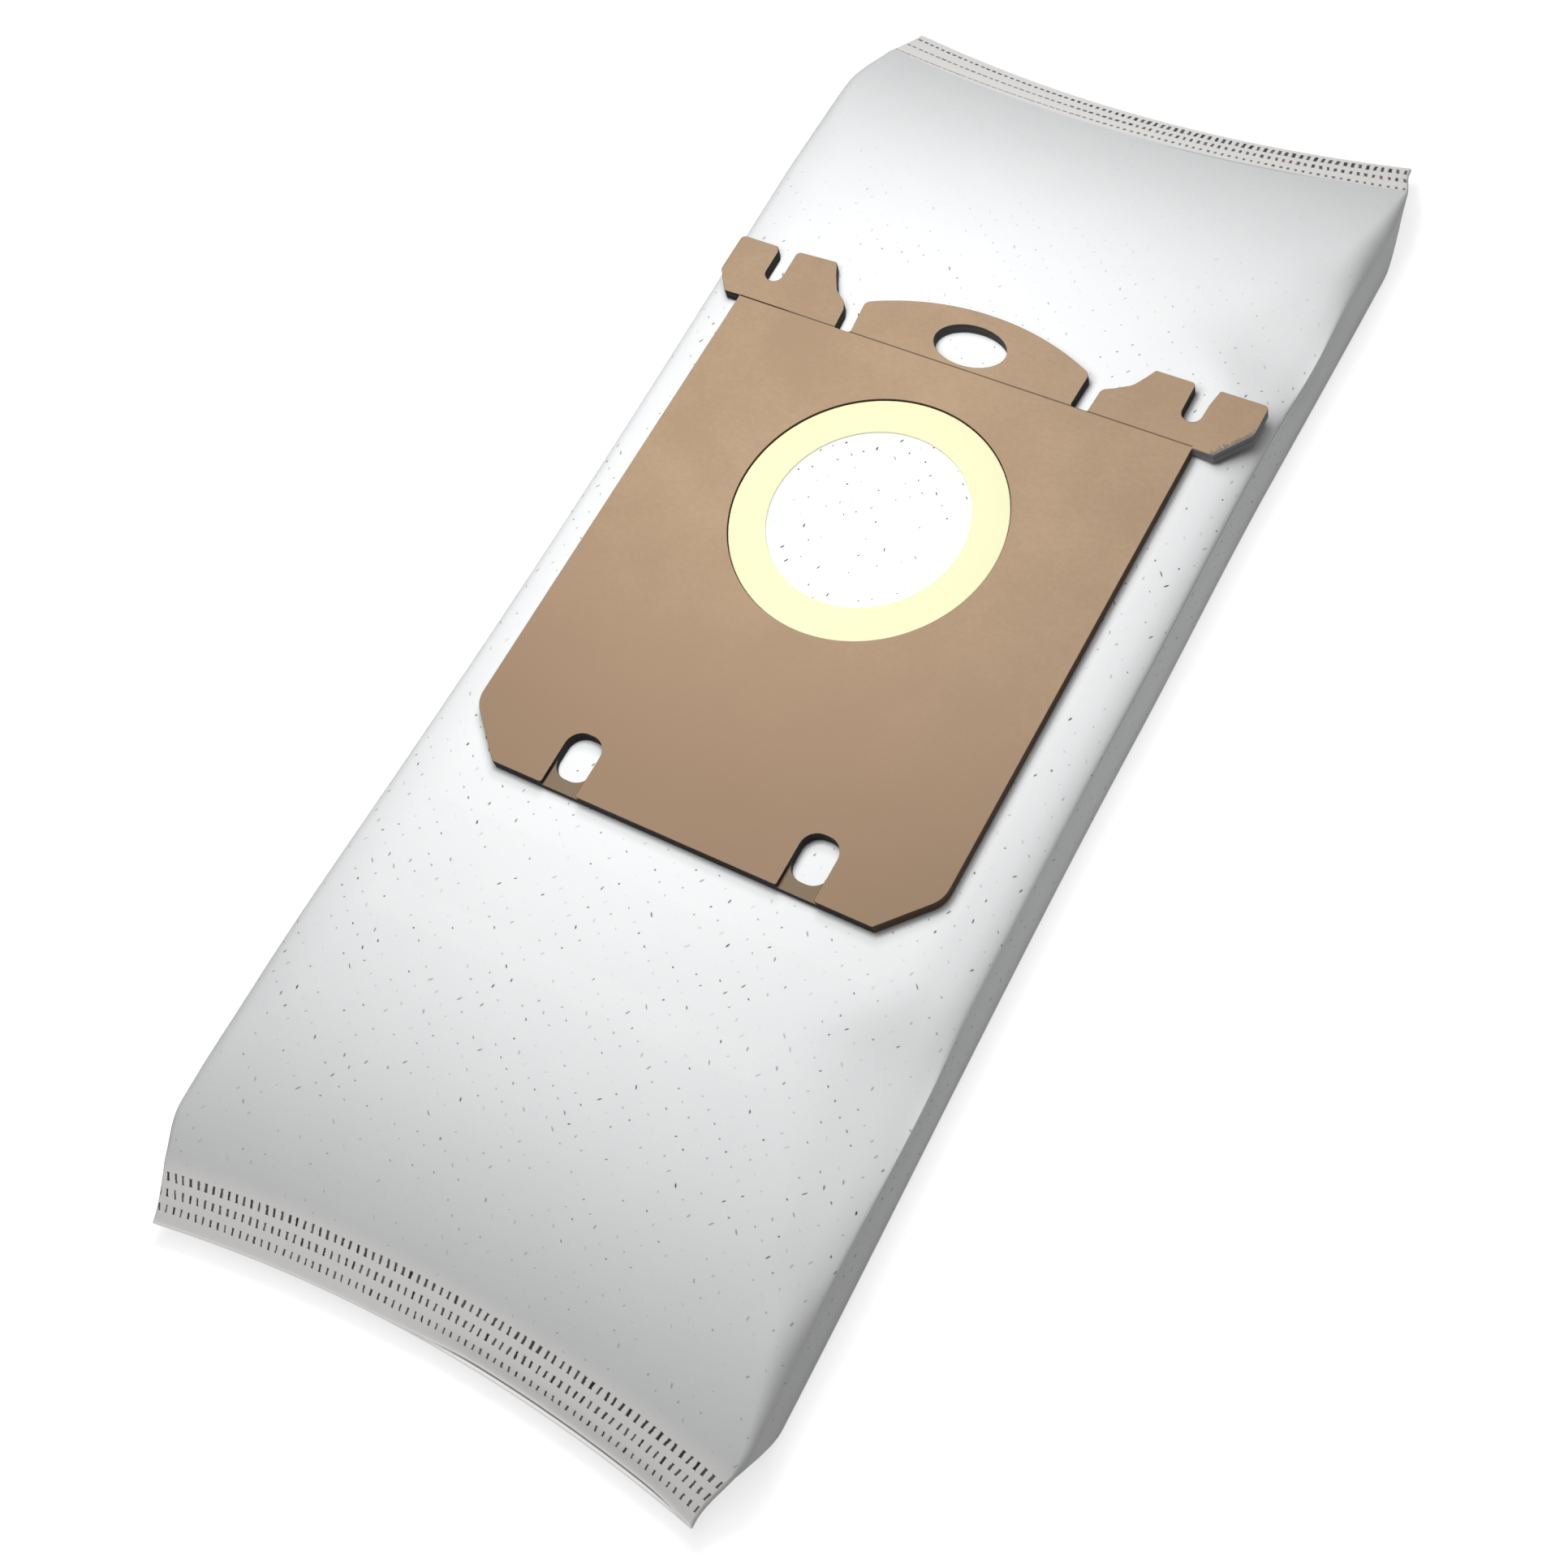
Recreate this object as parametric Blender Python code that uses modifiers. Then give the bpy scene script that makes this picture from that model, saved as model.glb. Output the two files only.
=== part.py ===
"""Vacuum cleaner dust bag: a welded fleece bag with a two-layer board collar and a rubber seal ring.

The bag lies flat on its underside. X is its width, +Y points to the end with the pull tab and +Z is up.
The origin is on the surface that it lies on, under the middle of the bag.
"""

import math
from collections import namedtuple

import bmesh
import bpy
from mathutils import Matrix, Vector

# Fleece bag
BAG_LENGTH = 0.3171
WAIST_WIDTH = 0.1277
BAG_HEIGHT = 0.0211
SIDE_WALL_HEIGHT = 0.0115
SHOULDER_REACH = 0.0078
BOTTOM_ROUNDING = 0.0015
FLEECE = 0.0009

# Welded end strips, where the two layers are pressed together
STRIP_WIDTH = 0.1222
STRIP_DEPTH = 0.0105
STRIP_THICKNESS = 0.0014
STRIP_EDGE_HEIGHT = 0.0051
STRIP_SLOPE = 0.45
END_BOW = 0.0055
BOW_RUN = 0.060

# The end near the pull tab: its greatest width, the lengths over which its upper panel falls to the
# strip, its underside rises to it and its width draws in to it, and the bare edge beside the welds
TAB_END_WIDTH = 0.1315
TAB_END_FALL = 0.0486
TAB_END_RISE = 0.0150
TAB_END_DRAW = 0.0266
TAB_END_MARGIN = 0.0017

# The same for the end away from the pull tab
FAR_END_WIDTH = 0.1324
FAR_END_FALL = 0.0896
FAR_END_RISE = 0.0116
FAR_END_DRAW = 0.0158
FAR_END_MARGIN = 0.0030

# Weld marks, pressed into the strips in rows beside the cut edge
WELD_ROWS = 3
WELD_ROW_PITCH = 0.0030
WELD_PITCH = 0.00167
WELD_MARK_LENGTH = 0.0016
WELD_MARK_WIDTH = 0.00065
WELD_MARK_DEPTH = 0.00045

# Inlet, at its distance from the middle of the bag
INLET_Y = 0.02557
FLEECE_INLET_DIAMETER = 0.046

# Collar: sizes across X are whole widths, and places along Y are measured from the inlet
BODY_WIDTH = 0.105
BODY_BOTTOM = -0.0781
FOOT_WIDTH = 0.086
CHAMFER_TOP = -0.0678
CHAMFER_ROUNDING = 0.0060
SMALL_ROUNDING = 0.0005
FRONT_BOARD = 0.0010
BACK_BOARD = 0.0014
CLEARANCE = 0.0003

# Score line, where the lugs and the tab can hinge
SCORE_Y = 0.0389
SCORE_WIDTH = 0.0006
SCORE_DEPTH = 0.00035

# Lugs at the sides of the tab
LUG_SPAN = 0.123
LUG_BOTTOM = 0.0380
LUG_TOP = 0.0530
LUG_FOOT_SPAN = 0.1125
LUG_FOOT_DROP = 0.0003
LUG_SIDE_BOTTOM = 0.0452
NOTCH_X = 0.0483
NOTCH_WIDTH = 0.0040
NOTCH_FLARE = 0.0013
NOTCH_BOTTOM = 0.0448
PRONG_INNER_X = 0.0373
LUG_WAIST_X = 0.0356
LUG_WAIST_Y = 0.0490
LUG_SHOULDER_X = 0.0298
LUG_SHOULDER_Y = 0.0453
LUG_INNER_X = 0.0287
TAB_GAP_FLOOR = 0.0396

# Pull tab with its finger hole
TAB_WIDTH = 0.0520
TAB_TOP = 0.0535
TAB_CORNER_Y = 0.0474
TAB_CORNER_ROUNDING = 0.0016
FINGER_HOLE_Y = 0.0450
FINGER_HOLE_WIDTH = 0.0162
FINGER_HOLE_HEIGHT = 0.0100

# Locating slots at the foot of the collar: open in the front board, closed in the back board
SLOT_X = 0.0266
SLOT_WIDTH = 0.0081
SLOT_TOP = -0.0653
SLOT_CLOSED_BOTTOM = -0.0752
SLOT_ROUNDING = 0.0035

# Openings in the boards, and the seal ring glued on the back board inside the front board's opening
FRONT_OPENING_DIAMETER = 0.0576
BACK_OPENING_DIAMETER = 0.0480
SEAL_HOLE_DIAMETER = 0.0416
SEAL_THICKNESS = 0.0006
SEAL_EDGE_ROUNDING = 0.00015

# Fineness of curves
CIRCLE_STEPS = 64
OVAL_STEPS = 32
ARC_STEP = math.radians(22.5)
SHOULDER_STEPS = 6
ACROSS_STEPS = 6

BACK_BOARD_BOTTOM = BAG_HEIGHT + CLEARANCE
FRONT_BOARD_BOTTOM = BACK_BOARD_BOTTOM + BACK_BOARD + CLEARANCE
SEAL_BOTTOM = BACK_BOARD_BOTTOM + BACK_BOARD + CLEARANCE

# An end of the bag: its side along Y and the sizes named above
End = namedtuple("End", "side width fall rise draw margin")
TAB_END = End(1, TAB_END_WIDTH, TAB_END_FALL, TAB_END_RISE, TAB_END_DRAW, TAB_END_MARGIN)
FAR_END = End(-1, FAR_END_WIDTH, FAR_END_FALL, FAR_END_RISE, FAR_END_DRAW, FAR_END_MARGIN)


def clear_scene():
    """Remove the objects and collections that the scene starts with."""
    for thing in list(bpy.data.objects):
        bpy.data.objects.remove(thing, do_unlink=True)
    for group in list(bpy.data.collections):
        bpy.data.collections.remove(group)


def make_collection(name):
    """Add a collection to the scene."""
    group = bpy.data.collections.new(name)
    bpy.context.scene.collection.children.link(group)
    return group


def make_material(name, colour, roughness):
    """A plain material with the part's colour and roughness."""
    material = bpy.data.materials.new(name)
    material.use_nodes = True
    shader = material.node_tree.nodes["Principled BSDF"]
    shader.inputs["Base Color"].default_value = (*colour, 1.0)
    shader.inputs["Roughness"].default_value = roughness
    shader.inputs["Metallic"].default_value = 0.0
    return material


def add_object(name, mesh, group, material=None):
    """Put a mesh into the scene as an object."""
    thing = bpy.data.objects.new(name, mesh)
    group.objects.link(thing)
    if material is not None:
        mesh.materials.append(material)
    return thing


def cut(thing, cutter, name):
    """Take a cutter's volume away from an object, and show the cutter as a wire guide."""
    modifier = thing.modifiers.new(name, "BOOLEAN")
    modifier.operation = "DIFFERENCE"
    modifier.solver = "EXACT"
    modifier.object = cutter
    cutter.hide_render = True
    cutter.display_type = "WIRE"


def smooth_step(share):
    """Rise from 0 to 1 with level ends."""
    share = min(max(share, 0.0), 1.0)
    return share * share * (3.0 - 2.0 * share)


def ease_to_level(share, start, start_slope, end):
    """Cubic from a start value and slope to a level end value, over a share of 0 to 1."""
    share = min(max(share, 0.0), 1.0)
    rest = 1.0 - share
    value = start * rest * rest * (1.0 + 2.0 * share)
    value += start_slope * share * rest * rest
    value += end * share * share * (3.0 - 2.0 * share)
    return value


def strip_height(depth):
    """Height of the middle of an end strip, at a depth from its cut edge."""
    return STRIP_EDGE_HEIGHT + STRIP_SLOPE * min(depth, STRIP_DEPTH)


def bag_form(depth, end):
    """Half width, underside, fold and top heights of the bag, at a depth from an end's cut edge."""
    run = depth - STRIP_DEPTH
    middle = strip_height(depth)
    half_strip = STRIP_THICKNESS / 2
    top = ease_to_level(run / end.fall, middle + half_strip, STRIP_SLOPE * end.fall, BAG_HEIGHT)
    risen = smooth_step(run / end.rise)
    underside = (middle - half_strip) * (1.0 - risen)
    fold = middle + (SIDE_WALL_HEIGHT - middle) * risen
    body_width = end.width + (WAIST_WIDTH - end.width) * smooth_step(2.0 * depth / BAG_LENGTH)
    half_width = (STRIP_WIDTH + (body_width - STRIP_WIDTH) * smooth_step(depth / end.draw)) / 2
    return half_width, underside, fold, top


def end_bow(depth, across):
    """How far a point lies in from the line across the cut edge's corners; across is 0 to 1."""
    return END_BOW * (1.0 - smooth_step((depth - STRIP_DEPTH) / BOW_RUN)) * (1.0 - across * across)


def bag_section(depth, end, inset):
    """Closed outline of the bag across its width, as (x, z) from the middle of the underside round."""
    half_width, underside, fold, top = bag_form(depth, end)
    reach = SHOULDER_REACH * min(1.0, (top - fold) / (BAG_HEIGHT - SIDE_WALL_HEIGHT))
    half_width -= inset
    underside += inset
    top -= inset
    rounding = min(BOTTOM_ROUNDING, (fold - underside) / 2)
    half = []
    for step in range(ACROSS_STEPS):
        half.append(((half_width - rounding) * step / ACROSS_STEPS, underside))
    half.append((half_width - rounding, underside))
    half.append((half_width - rounding * 0.3, underside + rounding * 0.3))
    half.append((half_width, underside + rounding))
    for step in range(SHOULDER_STEPS + 1):
        angle = math.pi / 2 * step / SHOULDER_STEPS
        x = half_width - reach * (1.0 - math.cos(angle))
        half.append((x, fold + (top - fold) * math.sin(angle)))
    for step in range(1, ACROSS_STEPS + 1):
        half.append(((half_width - reach) * (1.0 - step / ACROSS_STEPS), top))
    other_half = [(-x, z) for x, z in half[-2:0:-1]]
    return half + other_half


def end_depths(end, start_depth, fine_steps):
    """Depths of an end's sections: the strip, the rise of the underside and the fall of the top."""
    depths = [start_depth]
    if start_depth < STRIP_DEPTH:
        depths.append(STRIP_DEPTH)
    rise_start = depths[-1]
    rise_end = STRIP_DEPTH + end.rise
    for step in range(1, fine_steps + 1):
        depths.append(rise_start + (rise_end - rise_start) * step / fine_steps)
    fall_end = STRIP_DEPTH + end.fall
    for step in range(1, fine_steps):
        depths.append(rise_end + (fall_end - rise_end) * step / (fine_steps - 1))
    return depths


def bag_loft(name, group, hollow, inset, fine_steps):
    """Closed body lofted through the bag's sections, its ends bowed in as the filled bag pulls them."""
    stations = []
    for end in (FAR_END, TAB_END):
        start_depth = cavity_start(end) if hollow else 0.0
        stations.append([(depth, end) for depth in end_depths(end, start_depth, fine_steps)])
    mesh_data = bmesh.new()
    rings = []
    for depth, end in stations[0] + [(BAG_LENGTH / 2, TAB_END)] + stations[1][::-1]:
        half_width = bag_form(depth, end)[0]
        ring = []
        for x, z in bag_section(depth, end, inset):
            inward = depth + end_bow(depth, x / half_width)
            ring.append(mesh_data.verts.new((x, end.side * (BAG_LENGTH / 2 - inward), z)))
        rings.append(ring)
    count = len(rings[0])
    for near, far in zip(rings, rings[1:]):
        for index in range(count):
            following = (index + 1) % count
            mesh_data.faces.new((near[index], near[following], far[following], far[index]))
    close_end(mesh_data, rings[0])
    close_end(mesh_data, rings[-1])
    bmesh.ops.recalc_face_normals(mesh_data, faces=mesh_data.faces)
    mesh = bpy.data.meshes.new(name)
    mesh_data.to_mesh(mesh)
    mesh_data.free()
    return add_object(name, mesh, group)


def close_end(mesh_data, ring):
    """Close an end with strips between the points of the underside and those above them."""
    half = len(ring) // 2
    right = ring[:half + 1]
    left = [ring[-index % len(ring)] for index in range(half + 1)]
    for side in (right, left):
        low, high = 0, half
        while high - low > 1:
            corners = [side[low], side[low + 1], side[high - 1], side[high]]
            unique = list(dict.fromkeys(corners))
            if len(unique) > 2:
                mesh_data.faces.new(unique)
            low += 1
            high -= 1


def cavity_start(end):
    """Depth at which an end is just thick enough to hold two layers of fleece and some air."""
    depth = STRIP_DEPTH
    step = end.rise / 20
    while depth < BAG_LENGTH / 2:
        _, underside, _, top = bag_form(depth, end)
        if top - underside > 2 * FLEECE + STRIP_THICKNESS / 2:
            break
        depth += step
    return depth


def weld_marks(name, group):
    """Wedges that press the rows of weld marks into the upper face of both end strips."""
    mesh_data = bmesh.new()
    count = int((STRIP_WIDTH - WELD_MARK_WIDTH) / WELD_PITCH)
    mark_size = Vector((WELD_MARK_WIDTH / 2, WELD_MARK_LENGTH / 2, WELD_MARK_DEPTH))
    for end in (FAR_END, TAB_END):
        for row in range(WELD_ROWS):
            row_depth = end.margin + row * WELD_ROW_PITCH
            half_width, _, _, top = bag_form(row_depth, end)
            for index in range(count):
                x = (index - (count - 1) / 2) * WELD_PITCH
                inward = row_depth + end_bow(row_depth, x / half_width)
                place = Vector((x, end.side * (BAG_LENGTH / 2 - inward), top))
                add_wedge(mesh_data, place, mark_size, math.atan(STRIP_SLOPE) * end.side)
    mesh = bpy.data.meshes.new(name)
    mesh_data.to_mesh(mesh)
    mesh_data.free()
    return add_object(name, mesh, group)


def add_wedge(mesh_data, place, size, tilt):
    """Four-sided spike that points into the strip, its head standing proud of the face."""
    proud = 0.5
    scale = Matrix.Diagonal((size.x * (1 + proud), size.y * (1 + proud), size.z, 1.0))
    turn = Matrix.Rotation(-tilt, 4, "X")
    head = Matrix.Translation(place) @ turn @ scale
    spin = Matrix.Rotation(math.pi / 4, 4, "Z")
    shift = Matrix.Translation((0.0, 0.0, (proud - 1.0) / 2))
    bmesh.ops.create_cone(mesh_data, cap_ends=True, segments=4, radius1=0.0, radius2=math.sqrt(2.0),
                          depth=1.0 + proud, matrix=head @ shift @ spin)


def make_bag(group, cutters, material):
    """Fleece bag: an outer loft, hollowed, with the inlet in its upper panel and its weld marks."""
    bag = bag_loft("fleece_bag", group, False, 0.0, 7)
    bag.data.materials.append(material)
    hollow = bag_loft("bag_hollow", cutters, True, FLEECE, 4)
    cut(bag, hollow, "Hollow")
    inlet_top = BAG_HEIGHT + 2 * FLEECE
    inlet_bottom = BAG_HEIGHT - 3 * FLEECE
    bpy.ops.mesh.primitive_cylinder_add(vertices=CIRCLE_STEPS // 2, radius=FLEECE_INLET_DIAMETER / 2,
                                        depth=inlet_top - inlet_bottom,
                                        location=(0.0, INLET_Y, (inlet_top + inlet_bottom) / 2))
    inlet = bpy.context.object
    inlet.name = "bag_inlet"
    move_to(inlet, cutters)
    cut(bag, inlet, "Inlet")
    cut(bag, weld_marks("weld_wedges", cutters), "Weld marks")
    return bag


def move_to(thing, group):
    """Keep an object in one collection only."""
    for old_group in list(thing.users_collection):
        old_group.objects.unlink(thing)
    group.objects.link(thing)


def rounded_outline(corners):
    """Outline through (x, y, rounding) corners, each rounding drawn as an arc."""
    points = []
    count = len(corners)
    for index, (x, y, rounding) in enumerate(corners):
        here = Vector((x, y))
        before = Vector(corners[index - 1][:2]) - here
        after = Vector(corners[(index + 1) % count][:2]) - here
        corner_angle = before.angle(after)
        if rounding <= 0.0 or corner_angle > math.radians(176):
            points.append(here)
            continue
        room = min(before.length, after.length) * 0.49
        reach = min(rounding / math.tan(corner_angle / 2), room)
        radius = reach * math.tan(corner_angle / 2)
        start = here + before.normalized() * reach
        middle_way = (before.normalized() + after.normalized()).normalized()
        centre = here + middle_way * (radius / math.sin(corner_angle / 2))
        sweep = math.pi - corner_angle
        turn_left = before.x * after.y - before.y * after.x < 0
        steps = max(1, round(sweep / ARC_STEP))
        for step in range(steps + 1):
            angle = sweep * step / steps * (1.0 if turn_left else -1.0)
            arm = start - centre
            arm.rotate(Matrix.Rotation(angle, 2))
            points.append(centre + arm)
    return points


def oval(centre_x, centre_y, width, height, steps):
    """Points round an ellipse, or round a circle where width and height are equal."""
    points = []
    for step in range(steps):
        angle = 2 * math.pi * step / steps
        points.append(Vector((centre_x + width / 2 * math.cos(angle),
                              centre_y + height / 2 * math.sin(angle))))
    return points


def closed_slot(side):
    """Outline of a closed locating slot."""
    left = side * SLOT_X - SLOT_WIDTH / 2
    right = side * SLOT_X + SLOT_WIDTH / 2
    corners = [(left, SLOT_CLOSED_BOTTOM), (right, SLOT_CLOSED_BOTTOM), (right, SLOT_TOP), (left, SLOT_TOP)]
    return rounded_outline([(x, y, SLOT_ROUNDING) for x, y in corners])


def tab_arc():
    """Corners along the right half of the tab's curved top, from its shoulder to the middle."""
    rise = TAB_TOP - TAB_CORNER_Y
    half = TAB_WIDTH / 2
    radius = (half * half + rise * rise) / (2 * rise)
    corners = []
    steps = 6
    for step in range(steps):
        x = half * (1.0 - step / steps)
        y = TAB_TOP - radius + math.sqrt(radius * radius - x * x)
        rounding = TAB_CORNER_ROUNDING if step == 0 else 0.0
        corners.append((x, y, rounding))
    return corners


def collar_outline(open_slots):
    """Outline of a collar board, drawn for its right half and mirrored."""
    body = BODY_WIDTH / 2
    lug = LUG_SPAN / 2
    notch_outer = NOTCH_X + NOTCH_WIDTH / 2
    notch_inner = NOTCH_X - NOTCH_WIDTH / 2
    half = []
    if open_slots:
        slot_inner = SLOT_X - SLOT_WIDTH / 2
        slot_outer = SLOT_X + SLOT_WIDTH / 2
        half += [(slot_inner, BODY_BOTTOM, SMALL_ROUNDING), (slot_inner, SLOT_TOP, SLOT_ROUNDING),
                 (slot_outer, SLOT_TOP, SLOT_ROUNDING), (slot_outer, BODY_BOTTOM, SMALL_ROUNDING)]
    half += [(FOOT_WIDTH / 2, BODY_BOTTOM, SMALL_ROUNDING), (body, CHAMFER_TOP, CHAMFER_ROUNDING),
             (body, LUG_BOTTOM, SMALL_ROUNDING),
             (LUG_FOOT_SPAN / 2, LUG_BOTTOM - LUG_FOOT_DROP, SMALL_ROUNDING),
             (lug, LUG_SIDE_BOTTOM, 4 * SMALL_ROUNDING), (lug, LUG_TOP, 2 * SMALL_ROUNDING),
             (notch_outer + NOTCH_FLARE, LUG_TOP, SMALL_ROUNDING),
             (notch_outer, (LUG_TOP + NOTCH_BOTTOM) / 2, 2 * SMALL_ROUNDING),
             (notch_outer, NOTCH_BOTTOM, NOTCH_WIDTH / 2), (notch_inner, NOTCH_BOTTOM, NOTCH_WIDTH / 2),
             (notch_inner, LUG_TOP, 2 * SMALL_ROUNDING), (PRONG_INNER_X, LUG_TOP, SMALL_ROUNDING),
             (LUG_WAIST_X, LUG_WAIST_Y, 6 * SMALL_ROUNDING), (LUG_SHOULDER_X, LUG_SHOULDER_Y, 5 * SMALL_ROUNDING),
             (LUG_INNER_X, TAB_GAP_FLOOR, 2 * SMALL_ROUNDING), (TAB_WIDTH / 2, TAB_GAP_FLOOR, 2 * SMALL_ROUNDING)]
    half += tab_arc()
    other_half = [(-x, y, rounding) for x, y, rounding in half[::-1]]
    top_middle = [(0.0, TAB_TOP, 0.0)]
    return rounded_outline(half + top_middle + other_half)


def make_board(name, group, outlines, bottom, thickness, material):
    """Flat board of an outline and its holes, drawn as a filled curve and made a mesh."""
    curve = bpy.data.curves.new(name + "_outline", "CURVE")
    curve.dimensions = "2D"
    curve.fill_mode = "BOTH"
    curve.extrude = thickness / 2
    for outline in outlines:
        spline = curve.splines.new("POLY")
        spline.points.add(len(outline) - 1)
        for point, place in zip(spline.points, outline):
            point.co = (place.x, place.y, 0.0, 1.0)
        spline.use_cyclic_u = True
    drawing = bpy.data.objects.new(name + "_outline", curve)
    drawing.location = (0.0, INLET_Y, bottom + thickness / 2)
    group.objects.link(drawing)
    bpy.context.view_layer.update()
    evaluated = drawing.evaluated_get(bpy.context.evaluated_depsgraph_get())
    mesh = bpy.data.meshes.new_from_object(evaluated)
    mesh.name = name
    mesh_data = bmesh.new()
    mesh_data.from_mesh(mesh)
    bmesh.ops.remove_doubles(mesh_data, verts=mesh_data.verts, dist=0.00001)
    bmesh.ops.recalc_face_normals(mesh_data, faces=mesh_data.faces)
    mesh_data.to_mesh(mesh)
    mesh_data.free()
    board = add_object(name, mesh, group, material)
    board.matrix_world = drawing.matrix_world.copy()
    bpy.data.objects.remove(drawing, do_unlink=True)
    return board


def make_back_board(group, material):
    """Lower board, next to the fleece, with its two slots closed."""
    outlines = [collar_outline(False),
                oval(0.0, 0.0, BACK_OPENING_DIAMETER, BACK_OPENING_DIAMETER, CIRCLE_STEPS),
                oval(0.0, FINGER_HOLE_Y, FINGER_HOLE_WIDTH, FINGER_HOLE_HEIGHT, OVAL_STEPS),
                closed_slot(-1), closed_slot(1)]
    return make_board("back_board", group, outlines, BACK_BOARD_BOTTOM, BACK_BOARD, material)


def make_front_board(group, cutters, material):
    """Upper board, with its slots open at the foot and a score line under the tab and the lugs."""
    outlines = [collar_outline(True),
                oval(0.0, 0.0, FRONT_OPENING_DIAMETER, FRONT_OPENING_DIAMETER, CIRCLE_STEPS),
                oval(0.0, FINGER_HOLE_Y, FINGER_HOLE_WIDTH, FINGER_HOLE_HEIGHT, OVAL_STEPS)]
    board = make_board("front_board", group, outlines, FRONT_BOARD_BOTTOM, FRONT_BOARD, material)
    score_height = 2 * SCORE_DEPTH
    board_top = FRONT_BOARD_BOTTOM + FRONT_BOARD
    bpy.ops.mesh.primitive_cube_add(size=1.0, location=(0.0, INLET_Y + SCORE_Y, board_top))
    score = bpy.context.object
    score.name = "score_line"
    score.scale = (LUG_SPAN + 2 * SCORE_WIDTH, SCORE_WIDTH, score_height)
    move_to(score, cutters)
    cut(board, score, "Score line")
    return board


def make_seal_ring(group, material):
    """Flat rubber ring, a turned profile with softened edges."""
    inner = SEAL_HOLE_DIAMETER / 2
    outer = FRONT_OPENING_DIAMETER / 2 - CLEARANCE
    top = SEAL_THICKNESS
    soft = SEAL_EDGE_ROUNDING
    profile = [(outer, top - soft), (outer, 0.0), (inner, 0.0), (inner, top - soft),
               (inner + soft, top), (outer - soft, top)]
    mesh = bpy.data.meshes.new("seal_ring")
    count = len(profile)
    edges = [(index, (index + 1) % count) for index in range(count)]
    mesh.from_pydata([(radius, 0.0, height) for radius, height in profile], edges, [])
    ring = add_object("seal_ring", mesh, group, material)
    ring.location = (0.0, INLET_Y, SEAL_BOTTOM)
    screw = ring.modifiers.new("Turn", "SCREW")
    screw.axis = "Z"
    screw.steps = CIRCLE_STEPS
    screw.render_steps = CIRCLE_STEPS
    screw.use_merge_vertices = True
    screw.merge_threshold = 0.00001
    return ring


def main():
    """Build the whole bag."""
    clear_scene()
    parts = make_collection("vacuum_dust_bag")
    cutters = make_collection("cutters")
    fleece = make_material("fleece", (0.86, 0.86, 0.85), 0.95)
    board = make_material("kraft_board", (0.45, 0.32, 0.21), 0.85)
    rubber = make_material("seal_rubber", (0.98, 0.96, 0.62), 0.55)
    make_bag(parts, cutters, fleece)
    make_back_board(parts, board)
    make_front_board(parts, cutters, board)
    make_seal_ring(parts, rubber)


main()
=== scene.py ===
# %% [markdown]
# # Vacuum cleaner dust bag
# This bag is a folded tube of white non-woven fleece, welded flat at both ends. A collar of two kraft boards is glued
# on its upper panel, with side lugs, a pull tab and a pale rubber seal ring round the inlet. The lesson dresses the
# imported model: it loads the solids as a fixed frame and puts a finer piece where each of them lies.
# Everything is in metres, with X across the bag, +Y to the end with the pull tab and +Z up.

import bmesh
import bpy
import numpy as np
from mathutils import Matrix, Vector


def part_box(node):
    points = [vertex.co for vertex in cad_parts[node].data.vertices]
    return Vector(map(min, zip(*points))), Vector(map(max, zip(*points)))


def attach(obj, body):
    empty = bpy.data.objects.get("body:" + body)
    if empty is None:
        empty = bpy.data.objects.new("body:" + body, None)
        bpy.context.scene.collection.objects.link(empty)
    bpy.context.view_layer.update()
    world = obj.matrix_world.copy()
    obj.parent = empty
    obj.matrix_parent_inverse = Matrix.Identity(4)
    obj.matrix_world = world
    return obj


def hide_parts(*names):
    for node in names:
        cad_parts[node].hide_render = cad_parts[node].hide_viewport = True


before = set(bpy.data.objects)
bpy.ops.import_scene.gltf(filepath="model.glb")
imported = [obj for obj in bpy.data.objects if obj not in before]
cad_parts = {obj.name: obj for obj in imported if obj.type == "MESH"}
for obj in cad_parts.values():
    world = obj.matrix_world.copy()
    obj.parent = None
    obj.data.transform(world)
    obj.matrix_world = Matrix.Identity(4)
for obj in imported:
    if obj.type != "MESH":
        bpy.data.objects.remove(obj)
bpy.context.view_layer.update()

MM = 0.001

# %% [markdown]
# ## Camera
# The picture was taken from above the right side of the bag, with the camera rolled, so that the bag lies across the
# frame from corner to corner. A place and three directions fix such a view: to the right, up, and back to the viewer.
# They are the columns of the camera's turn. The focal length in millimetres goes with a sensor 36 mm wide.

# %% Camera
CAMERA_PLACE = (0.17564, -0.17252, 0.40561)
CAMERA_RIGHT = (0.8567, 0.4801, -0.1887)
CAMERA_UP = (-0.3591, 0.8176, 0.4502)
FOCAL_LENGTH = 53.1
SENSOR_WIDTH = 36.0

right = Vector(CAMERA_RIGHT).normalized()
up = (Vector(CAMERA_UP) - right * right.dot(Vector(CAMERA_UP))).normalized()
turn = Matrix((right, up, right.cross(up))).transposed()
lens = bpy.data.cameras.new("camera")
lens.lens = FOCAL_LENGTH
lens.sensor_width = SENSOR_WIDTH
lens.clip_start = 0.01
camera = bpy.data.objects.new("camera", lens)
camera.matrix_world = Matrix.Translation(CAMERA_PLACE) @ turn.to_4x4()
bpy.context.scene.collection.objects.link(camera)
bpy.context.scene.camera = camera
print("camera looks along", [round(value, 3) for value in -right.cross(up)])

# %% [markdown]
# ## Helpers for meshes
# Every piece below is worked out as whole arrays of points. One helper puts points, faces and a map of the surface
# into a mesh, so that the pieces themselves stay short. The map is kept in metres, which lets a pattern be written in
# its real sizes.

# %% Put arrays into a mesh
PIECES = bpy.data.collections.new("dust_bag_pieces")
bpy.context.scene.collection.children.link(PIECES)


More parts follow.
